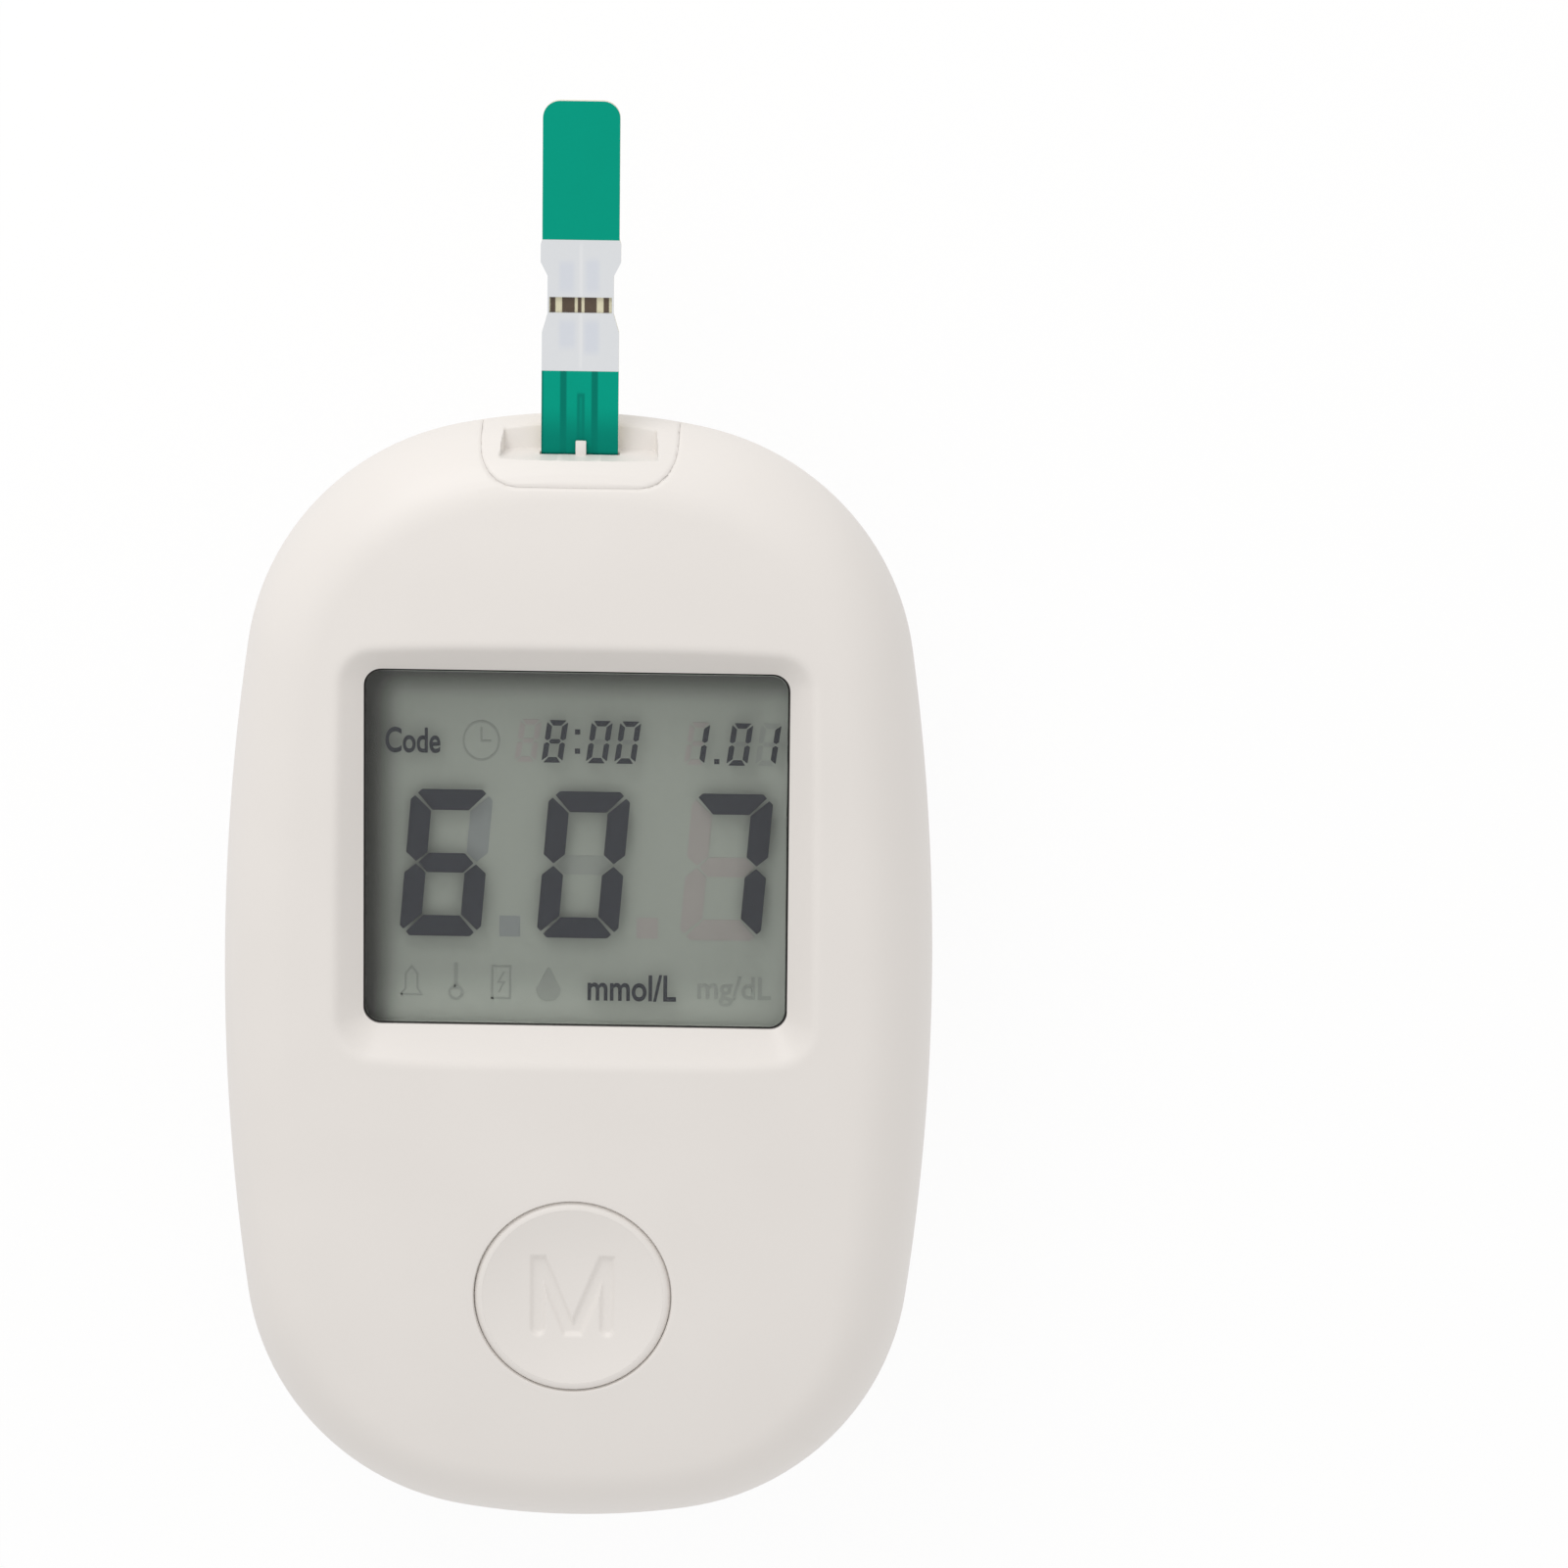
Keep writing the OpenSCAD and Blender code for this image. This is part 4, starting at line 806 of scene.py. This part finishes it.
def makeFrontCover():
    bm = coverBlank()
    # small faces where the recess slopes, larger ones between
    sliceAcross(bm, 0, spread(-22, -20, 1) + spread(-19.6, -14.2, 0.3) + spread(-13, 13, 2) + spread(14.2, 19.6, 0.3)
                + spread(20, 22, 1), topOf)
    sliceAcross(bm, 1, spread(-36, -8, 2) + spread(-7.2, -2.2, 0.3) + spread(-1, 23, 2) + spread(24.2, 29.2, 0.3)
                + spread(30, 37, 1), topOf)
    raiseFace(bm)

    fine = [0.07, 0.12, 0.18, 0.25]
    half = port["width"] / 2
    sides = spread(4.4, 7.3, 0.15) + [half + f for f in fine] + [half - 0.1]
    sliceAcross(bm, 0, sorted(sides), nearSeam)
    sliceAcross(bm, 0, sorted([-x for x in sides]), nearSeam)
    sliceAcross(bm, 1, sorted([port["y"] - f for f in fine] + [39.6] + spread(39.75, 42.4, 0.15)), nearSeam)
    sinkSeam(bm)
    wall, edge, clear = shell["wall"], shell["innerEdge"], shell["clear"]
    inner = casing["edgeRise"] - shell["roof"]
    innerAngle = atan2(inner, edge * casing["domeSlope"])
    turns = [innerAngle * i / 8 for i in range(1, 9)]
    steps = [(wall + edge * (1 - cos(a)), casing["parting"] + inner * sin(a)) for a in turns]
    steps.append((casing["domeReach"], steps[-1][1] + casing["domeSlope"] * (casing["domeReach"] - steps[-1][0]) / 2))
    cavity = loftFrom(wall, shell["cavityFoot"], casing["parting"], steps)[0]
    wallX, wallY = window["pocketX"] + window["pocketWall"], window["pocketY"] + window["pocketWall"]
    blocks = [boxBetween(-wallX, wallX, window["y"] - wallY, window["y"] + wallY, shell["pocketFoot"], clear),
              rodBetween(0, button["y"], button["hole"] + shell["collarWall"], shell["collarFoot"], clear)]
    for use, foot in (("case", shell["casePostFoot"]), ("board", shell["boardPostFoot"])):
        blocks += [rodBetween(x, y, shell["post"], foot, clear) for x, y in screws[use]]
    cavity = combine(cavity, blocks)
    bm = combine(bm, [cavity])
    pocket = boxBetween(-window["pocketX"], window["pocketX"], window["y"] - window["pocketY"],
                        window["y"] + window["pocketY"], casing["parting"], window["z"] - window["edge"])
    opening = roundedPlate(window["width"] / 2, window["height"] / 2, window["corner"], window["y"], 15, 25, 10)
    hole = rodBetween(0, button["y"], button["collar"], 12, 30, 96)
    bm = combine(bm, [pocket, opening, hole, seamCutter(port["gap"])])
    # the rounded edge of the button's hole, drawn to follow the dome
    rim = bmesh.new()
    soft = button["holeSoft"]
    line = [(button["collar"], 0), (button["hole"] + soft, 0)]
    turns = [pi / 2 * i / 5 for i in range(1, 6)]
    line += [(button["hole"] + soft * (1 - sin(a)), -soft * (1 - cos(a))) for a in turns]
    line += [(button["hole"], -soft - 0.05), (button["holeDeep"], -soft - 0.18), (button["holeDeep"], -9),
             (button["collar"], -9)]
    spinLine(rim, line, closed=True)
    bmesh.ops.translate(rim, vec=(0, button["y"], 0), verts=rim.verts)
    for v in rim.verts:
        v.co.z = shell["collarFoot"] if v.co.z < -5 else v.co.z + faceHeight(v.co.x, v.co.y)
    bmesh.ops.recalc_face_normals(rim, faces=rim.faces)
    addTo(bm, rim)
    return placePiece(bm, "frontCover", "casing", "white_plastic", "front_cover", sharp=40)


frontCover = makeFrontCover()
print("front cover:", len(frontCover.data.polygons), "faces")

# the insert round the strip port


def makePortInsert():
    bm = coverBlank()
    sliceAcross(bm, 0, spread(-7.8, 7.8, 0.13), nearSeam)
    sliceAcross(bm, 1, spread(39.2, 43.65, 0.11), nearSeam)
    sinkSeam(bm)
    for v in bm.verts:
        x, y, z = v.co
        if y > 40 and abs(x) < 7.2 and z > casing["parting"] + 0.3:
            scoop = scoopHeight(x, y)
            v.co.z = softMin(z, scoop, port["soft"]) if z - scoop > -port["soft"] else z
    bm = combine(bm, [seamCutter(0)], "INTERSECT")
    under = boxBetween(-15, 15, 0, port["wallY"] - 1.25, 11, 18.4)
    slotCut = boxBetween(-port["slotHalf"], port["slotHalf"], 38, port["wallY"] + 1,
                         port["slotLow"], port["slotHigh"])
    bm = combine(bm, [under, slotCut])
    tab = boxBetween(-0.3, 0.51, port["wallY"] - 0.2, port["wallY"] + 1.35, port["slotHigh"], port["slotHigh"] + 0.3)
    bevelSharp(tab, 0.08)
    addTo(bm, tab)
    return placePiece(bm, "portInsert", "casing", "white_plastic", "strip_port_bezel", sharp=40)


portInsert = makePortInsert()
print("port insert:", len(portInsert.data.polygons), "faces")

# the button


def lineDistance(x, y, ax, ay, bx, by):
    share = ((x - ax) * (bx - ax) + (y - ay) * (by - ay)) / ((bx - ax) ** 2 + (by - ay) ** 2)
    share = min(1, max(0, share))
    return hypot(x - ax - share * (bx - ax), y - ay - share * (by - ay))


def markDistance(x, y):
    half, foot, top = button["markStroke"] / 2, button["markFoot"], button["markTop"]
    x = abs(x)
    leg = lineDistance(x, y, button["markX"], foot + half, button["markX"], top + 2) - half
    slope = lineDistance(x, y, button["markX"], top, 0, button["markVee"]) - half
    return max(min(leg, max(slope, foot - y)), y - top)


def makeButton():
    bm = bmesh.new()
    rim, dish = button["rim"], button["dish"]
    chord = button["radius"] - rim
    bowl = (chord * chord + dish * dish) / (2 * dish)
    lean = acos(1 - dish / bowl)
    field = button["field"]

    def dishHeight(r):
        return button["top"] - dish + bowl - sqrt(bowl * bowl - r * r)

    radii = [field + (chord - field) * i / 10 for i in range(11)]
    line = [(r, dishHeight(r)) for r in radii]
    line += [(chord + rim * sin(a), button["top"] - rim + rim * cos(a)) for a in
             [(-lean + (pi / 2 + lean) * i / 8) for i in range(1, 9)]]
    line += [(button["radius"], button["base"] + 0.8), (button["flange"], button["base"] + 0.8),
             (button["flange"], button["base"]), (2.2, button["base"]), (2.2, button["stem"])]
    spinLine(bm, line)
    rings = [e for e in bm.edges if e.is_boundary]
    bmesh.ops.contextual_create(bm, geom=[e for e in rings if e.verts[0].co.z < 18])
    bmesh.ops.contextual_create(bm, geom=[e for e in rings if e.verts[0].co.z > 18])

    sliceAcross(bm, 0, spread(-4.4, 4.4, 0.1), lambda c: hypot(c.x, c.y) < 3 and c.z > 20)
    sliceAcross(bm, 1, spread(-4.4, 4.4, 0.1), lambda c: hypot(c.x, c.y) < field and c.z > 20)
    for v in bm.verts:
        x, y, z = v.co
        if z > 20 and hypot(x, y) < field - 0.01:
            away = markDistance(x, y)
            share = min(1, max(0, (button["markSoft"] / 2 - away) / button["markSoft"]))
            share = share * share * (3 - 2 * share)
            v.co.z = dishHeight(hypot(x, y)) - button["markDepth"] * share
    bmesh.ops.translate(bm, vec=(0, button["y"], 0), verts=bm.verts)
    return placePiece(bm, "memoryButton", "button", "button_plastic", "memory_button", sharp=40)


memoryButton = makeButton()
print("button:", len(memoryButton.data.polygons), "faces")

# rear cover


rear = {
    "inset": 0.3,
    "taper": 0.35,  # how far the wall goes in for each millimetre down
    "bendTop": 4.0,
    "bend": (3.345, 4.745, 8.5),  # insets where the rounded foot starts, turns and ends
    "lipInset": 1.85,
    "lipTop": 13.5,
    "bayX": 11.15,
    "bayY": (-31, 18.6),
    "bayTop": 12.55,
    "doorX": 12.15,
    "doorY": (-32.15, 20.55),
    "doorDeep": 1.65,
    "catchX": 5.15,
    "catchY": (-34.55, -34.35, -32),
    "catchDeep": (0.85, 2.8),
    "hinge": (19.6, 0.8, 0.6, 13.3),  # y, z, radius and half length
    "post": 2.8,
    "screwHole": 1.1,
    "screwHead": 2.0,
}


def makeRearCover():
    parting, top = casing["parting"], rear["bendTop"]
    start, corner, foot = rear["bend"]
    bend = [i / 10 for i in range(9, -1, -1)]
    steps = [(rear["inset"] + rear["taper"] * (parting - z), z) for z in (10.5, 8.3, 6.1, top)]
    steps += [(t * t * start + 2 * t * (1 - t) * corner + (1 - t) ** 2 * foot, t * t * top) for t in bend]
    bm = loftFrom(rear["inset"], parting, parting - 0.1, steps)[0]
    lip = outlineFace(rear["lipInset"], 12.0)
    made = bmesh.ops.extrude_face_region(lip, geom=lip.faces[:])
    raised = [v for v in made["geom"] if isinstance(v, bmesh.types.BMVert)]
    bmesh.ops.translate(lip, vec=(0, 0, rear["lipTop"] - 12.0), verts=raised)
    bm = combine(bm, [lip], "UNION")
    cavity = loftFrom(2.7, 14.5, 12.7, [(5.445, 4.8), (8.2, 1.8)])[0]
    bm = combine(bm, [cavity, boxBetween(-8.5, 8.5, 35.48, 60, parting, 40)])
    # the walls round the battery bay, the ears of the hinge and the screw posts
    blocks = [boxBetween(-13, 13, -32, 21.35, 0.5, 13.2)]
    blocks += [boxBetween(low, high, 18, 21.2, 1, 3) for low, high in ((12.8, 16), (-16, -12.8))]
    blocks += [rodBetween(x, y, rear["post"], 1.0, rear["lipTop"]) for x, y in screws["case"]]
    bm = combine(bm, blocks, "UNION")
    hingeY, hingeZ, hingeRadius, hingeHalf = rear["hinge"]
    cuts = [boxBetween(-rear["bayX"], rear["bayX"], *rear["bayY"], -1, rear["bayTop"]),
            boxBetween(-rear["doorX"], rear["doorX"], *rear["doorY"], -1, rear["doorDeep"])]
    for near, deep in zip(rear["catchY"], rear["catchDeep"]):
        cuts.append(boxBetween(-rear["catchX"], rear["catchX"], near, rear["catchY"][2], -1, deep))
    cuts.append(rodAlongX(hingeY, hingeZ, hingeRadius, hingeHalf))
    cuts += [rodBetween(x, y, rear["screwHole"], 0, 14.7) for x, y in screws["case"]]
    cuts += [rodBetween(x, y, rear["screwHead"], -1, 5) for x, y in screws["case"]]
    bm = combine(bm, cuts)
    return placePiece(bm, "rearCover", "casing", "white_plastic", "rear_cover", sharp=30)


rearCover = makeRearCover()
print("rear cover:", len(rearCover.data.polygons), "faces")

# pieces that keep their CAD form and get softened edges

softEdges = {
    "battery_door": ("batteryDoor", "door", "white_plastic", 0.18),
    "rear_label": ("rearLabel", "door", "label_film", 0.03),
    "case_screws": ("caseScrews", "casing", "screw_steel", 0.08),
    "battery_cell_left": ("cellLeft", "casing", "cell_jacket", 0.25),
    "battery_cell_right": ("cellRight", "casing", "cell_jacket", 0.25),
    "keypad_dome": ("keypadDome", "casing", "silicone", 0.05),
}


def soften(node):
    name, body, slot, width = softEdges[node]
    bm = bmesh.new()
    bm.from_mesh(frame["nodes"][node].data)
    bmesh.ops.scale(bm, vec=(1 / mm, 1 / mm, 1 / mm), verts=bm.verts)
    bmesh.ops.remove_doubles(bm, verts=bm.verts, dist=1e-4)
    bmesh.ops.dissolve_limit(bm, angle_limit=radians(1), verts=bm.verts[:], edges=bm.edges[:])
    bevelSharp(bm, width)
    for v in bm.verts:
        v.co.z = max(v.co.z, 0)
    return placePiece(bm, name, body, slot, node, sharp=40)


softened = {node: soften(node) for node in softEdges}
dome = softened["keypad_dome"]
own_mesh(dome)
print("door, label, screws, cells and keypad dome are softened")

# lens and tape


lens = {
    "gap": 0.17,
    "low": 17.9,
    "flange": 18.45,
    "top": 19.15,
    "edge": 0.08,
    "tapeTop": 18.6,
    "upstand": (18.55, 18.98),  # the dark line round the lens
    "gasket": (17.62, 17.88),
    "gasketGap": (0.28, 0.14),
    "gasketShift": -0.16,
}


def pocketPlate(play, low, high):
    return roundedPlate(window["pocketX"] - play, window["pocketY"] - play, 1, window["y"], low, high)


def makeLens():
    halfX, halfY = window["width"] / 2 - lens["gap"], window["height"] / 2 - lens["gap"]
    corner, y = window["corner"] - 0.1, window["y"]
    bm = roundedPlate(halfX, halfY, corner, y, lens["low"], lens["top"])
    top = [e for e in bm.edges if min(v.co.z for v in e.verts) > lens["top"] - 0.01]
    bmesh.ops.bevel(bm, geom=top, offset=lens["edge"], segments=2, affect="EDGES", profile=0.5, material=-1)
    bm = combine(bm, [pocketPlate(0.1, lens["low"], lens["flange"])], "UNION")
    placePiece(bm, "displayLens", "casing", "clear_lens", "display_lens")
    inner = roundedPlate(halfX + 0.01, halfY + 0.01, corner, y, 18, 19)
    ring = combine(pocketPlate(0.2, lens["flange"], lens["tapeTop"]), [inner])
    upstand = roundedPlate(halfX + 0.15, halfY + 0.15, window["corner"], y, *lens["upstand"])
    core = roundedPlate(halfX + 0.01, halfY + 0.01, corner, y, 18, 20)
    ring = combine(ring, [combine(upstand, [core])], "UNION")
    placePiece(ring, "lensTape", "casing", "black_tape", "lens_adhesive")


makeLens()


def makeGasket():
    halfX, halfY = (window[side] / 2 - gap for side, gap in zip(("width", "height"), lens["gasketGap"]))
    inner = roundedPlate(halfX, halfY, window["corner"] - 0.2, window["y"] + lens["gasketShift"], 17, 19)
    ring = combine(pocketPlate(0.3, *lens["gasket"]), [inner])
    placePiece(ring, "displayGasket", "casing", "grey_foam", "display_gasket")


makeGasket()
print("lens, tape and gasket are made")

# display content

display = {
    "z": 17.32,
    "thick": 0.04,
    "lift": 0.004,  # strokes that cross lie a little over each other
    "ghostZ": 16.49,
    "ghostShift": -0.18,
    "glass": (36.2, 34.8, 16.55, 17.6),  # width, height, bottom and top
    "panel": (36.2, 30.8, 15.6, 16.5),
    "litWords": (("Code", -14.61, -10.43, 18.01, 20.01), ("mmol/L", 0.89, 7.65, -1.23, 0.87)),
    "unlitWords": ("mg/dL", 9.22, 14.85, -1.5, 0.87),
    "points": ((-0.02, 18.35), (-0.02, 19.85), (10.56, 17.72)),
    "thin": 0.16,  # stroke of the unlit symbols
    "big": {"slant": 0.081, "low": 3.7, "high": 15.2, "wide": 6.2, "stroke": 1.62, "gap": 0.2},
    "small": {"slant": 0.14, "low": 17.43, "high": 20.74, "wide": 1.6, "stroke": 0.42, "gap": 0.14},
    "bigDigits": ((-13.53, "acdefg", "grey"), (-3.06, "abcdef", "pale"), (7.8, "abc", "pink")),
    "smallDigits": ((-4.85, "", "pink"), (-2.77, "abcdefg", "pale"), (0.60, "abcdef", "pale"),
                    (2.76, "abcdef", "pale"), (8.0, "bc", "pink"), (11.27, "abcdef", "pale"),
                    (13.4, "bc", "pale")),
}


def digitShapes(size):
    w, h, t, g = size["wide"], size["high"] - size["low"], size["stroke"], size["gap"]
    k, mid = 0.5 * t, h / 2
    e = g / 2
    shapes = {
        "a": [(k, h), (w - k, h), (w - k / 2 - e, h - k / 2 + e), (w - t - e, h - t), (t + e, h - t),
              (k / 2 + e, h - k / 2 + e)],
        "f": [(0, h - k), (k / 2 - e, h - k / 2 - e), (t, h - t - e), (t, mid + t / 2), (t / 2, mid + e),
              (0, mid + t / 2)],
        "g": [(t / 2 + 2 * e, mid), (t + e, mid + t / 2 - e / 2), (w - t - e, mid + t / 2 - e / 2),
              (w - t / 2 - 2 * e, mid), (w - t - e, mid - t / 2 + e / 2), (t + e, mid - t / 2 + e / 2)],
    }
    shapes["d"] = [(x, h - y) for x, y in shapes["a"]]
    shapes["b"] = [(w - x, y) for x, y in shapes["f"]]
    shapes["e"] = [(x, h - y) for x, y in shapes["f"]]
    shapes["c"] = [(w - x, h - y) for x, y in shapes["f"]]
    return shapes


def plate(bm, points, lift=0.0):
    verts = [bm.verts.new((x, y, display["z"] + lift)) for x, y in points]
    face = bmesh.ops.contextual_create(bm, geom=verts)["faces"][0]
    made = bmesh.ops.extrude_face_region(bm, geom=[face])
    bmesh.ops.translate(bm, vec=(0, 0, display["thick"]),
                        verts=[v for v in made["geom"] if isinstance(v, bmesh.types.BMVert)])


def addDigits(lit, ghosts):
    for key, places in (("big", "bigDigits"), ("small", "smallDigits")):
        size = display[key]
        shapes = digitShapes(size)
        for left, on, tone in display[places]:
            for name, points in shapes.items():
                moved = [(left + x + size["slant"] * y, size["low"] + y) for x, y in points]
                plate(lit if name in on else ghosts[tone], moved)


def dot(bm, x, y, half, tall=None):
    plate(bm, [(x - half, y - (tall or half)), (x + half, y - (tall or half)), (x + half, y + (tall or half)),
               (x - half, y + (tall or half))])


def stroke(bm, points, width):
    for index, ((ax, ay), (bx, by)) in enumerate(zip(points, points[1:])):
        along = Vector((bx - ax, by - ay)).normalized() * width / 2
        side = Vector((-along.y, along.x))
        a, b = Vector((ax, ay)), Vector((bx, by))
        if len(points) > 10:  # a ring's strokes hardly run past their ends
            along *= 0.1
        corners = [a - side - along, b - side + along, b + side + along, a + side - along]
        plate(bm, [tuple(corner) for corner in corners], display["lift"] * (index % 3))


def ringPoints(x, y, halfX, halfY, count):
    turns = [2 * pi * i / count for i in range(count + 1)]
    return [(x + halfX * cos(a), y + halfY * sin(a)) for a in turns]


def words(text, x0, x1, y0, y1):
    data = bpy.data.curves.new("words", "FONT")
    data.body = text
    data.extrude = 0.02
    data.offset = 0.018
    bm = curveMesh("words", data)
    xs, ys = [v.co.x for v in bm.verts], [v.co.y for v in bm.verts]
    wide, tall = max(xs) - min(xs), max(ys) - min(ys)
    bmesh.ops.translate(bm, vec=(-min(xs), -min(ys), 0.02), verts=bm.verts)
    bmesh.ops.scale(bm, vec=((x1 - x0) / wide, (y1 - y0) / tall, 1), verts=bm.verts)
    bmesh.ops.translate(bm, vec=(x0, y0, display["z"]), verts=bm.verts)
    return bm


def makeDisplay():
    lit = bmesh.new()
    ghosts = {tone: bmesh.new() for tone in ("grey", "pale", "pink", "icon")}
    addDigits(lit, ghosts)
    for x, y in display["points"]:
        dot(lit, x, y, 0.2)
    dot(ghosts["grey"], -5.10, 4.56, 0.79, 0.82)
    dot(ghosts["pink"], 5.36, 4.56, 0.82, 0.82)
    for word in display["litWords"]:
        addTo(lit, words(*word))
    icons, thin = ghosts["icon"], display["thin"]
    addTo(icons, words(*display["unlitWords"]))
    # clock, bell, thermometer, battery and drop
    stroke(icons, ringPoints(-7.36, 19.02, 1.35, 1.5, 24), thin)
    stroke(icons, [(-7.36, 20.0), (-7.36, 19.0), (-6.7, 19.0)], thin)
    stroke(icons, [(-13.3, -0.9), (-11.8, -0.9), (-12.1, -0.4), (-12.1, 0.7), (-12.55, 1.3), (-13.0, 0.7),
                   (-13.0, -0.4), (-13.3, -0.9)], thin)
    stroke(icons, [(-9.17, 1.5), (-9.17, -0.3)], 0.3)
    stroke(icons, ringPoints(-9.17, -0.7, 0.5, 0.5, 12), 0.2)
    stroke(icons, [(-6.4, -1.1), (-5.05, -1.1), (-5.05, 1.4), (-6.4, 1.4), (-6.4, -1.1)], thin)
    stroke(icons, [(-5.55, 0.9), (-5.95, 0.15), (-5.5, 0.15), (-5.9, -0.6)], 0.12)
    turns = [2 * pi * i / 24 for i in range(24)]
    plate(icons, [(-2.11 + (0.95 - 0.35 * max(0, sin(a))) * cos(a),
                   -0.35 + (0.95 + 0.75 * max(0, sin(a)) ** 3) * sin(a)) for a in turns])
    placePiece(lit, "litSegments", "casing", "segment")
    for tone, bm in ghosts.items():
        bmesh.ops.translate(bm, vec=(0, display["ghostShift"], display["ghostZ"] - display["z"]), verts=bm.verts)
        placePiece(bm, tone + "Unlit", "casing", tone + "Ghost")
    layers = (("glass", "frontGlass", ("lcd_front_glass", "lcd_polarizer"), None),
              ("panel", "displayPanel", ("lcd_rear_glass",), "panel"))
    for key, name, nodes, finish in layers:
        wide, tall, low, high = display[key]
        layer = boxBetween(-wide / 2, wide / 2, window["y"] - tall / 2, window["y"] + tall / 2, low, high)
        placePiece(bevelSharp(layer, 0.06, 1), name, "casing", "display_glass", *nodes, finish=finish)


makeDisplay()
print("display is made")

# the strip's conductors, wide and narrow in its window

strip = {
    "bars": ((-2.27, -1.92), (-1.39, -0.46), (-0.21, 0.05), (0.30, 1.20), (1.74, 2.13)),
    "low": 34.7,
    "high": 53.5,
    "z": (16.6, 16.65),
}


def makeConductors():
    bm = bmesh.new()
    for left, right in strip["bars"]:
        addTo(bm, boxBetween(left, right, strip["low"], strip["high"], *strip["z"]))
    placePiece(bm, "stripConductors", "test_strip", "conductor", "strip_electrodes")


makeConductors()

# battery springs

springs = {"wire": 0.28, "foot": 3.35, "tip": 2.0, "length": 4.4, "turns": 4, "z": 7.1,
           "ends": ((-5.6, -30.7, 1), (5.6, 18.3, -1))}


def makeSprings():
    data = bpy.data.curves.new("springs", "CURVE")
    data.dimensions = "3D"
    data.bevel_depth = springs["wire"]
    data.bevel_resolution = 3
    data.use_fill_caps = True
    count = springs["turns"] * 20
    for x, y, way in springs["ends"]:
        line = data.splines.new("POLY")
        line.points.add(count)
        for i in range(count + 1):
            share, turn = i / count, 2 * pi * springs["turns"] * i / count
            radius = springs["foot"] + (springs["tip"] - springs["foot"]) * share
            climb = springs["wire"] + (springs["length"] - 2 * springs["wire"]) * share
            line.points[i].co = (x + radius * cos(turn), y + way * climb, springs["z"] + radius * sin(turn), 1)
    placePiece(curveMesh("springs", data), "batterySprings", "casing", "nickel_plate", "battery_springs", sharp=60)


makeSprings()
print("springs are made")

# finishes on the CAD nodes that stay

nodeSlots = {entry["node"]: entry["material_slot"] for entry in frame["record"]["subparts"]}
ownFinish = {"strip_lead_film": "leadFilm", "strip_label_film": "windowFilm", "strip_spacer_film": "strip_white"}
for name, thing in frame["nodes"].items():
    thing.material_slots[0].material = finishes[ownFinish.get(name, nodeSlots[name])]
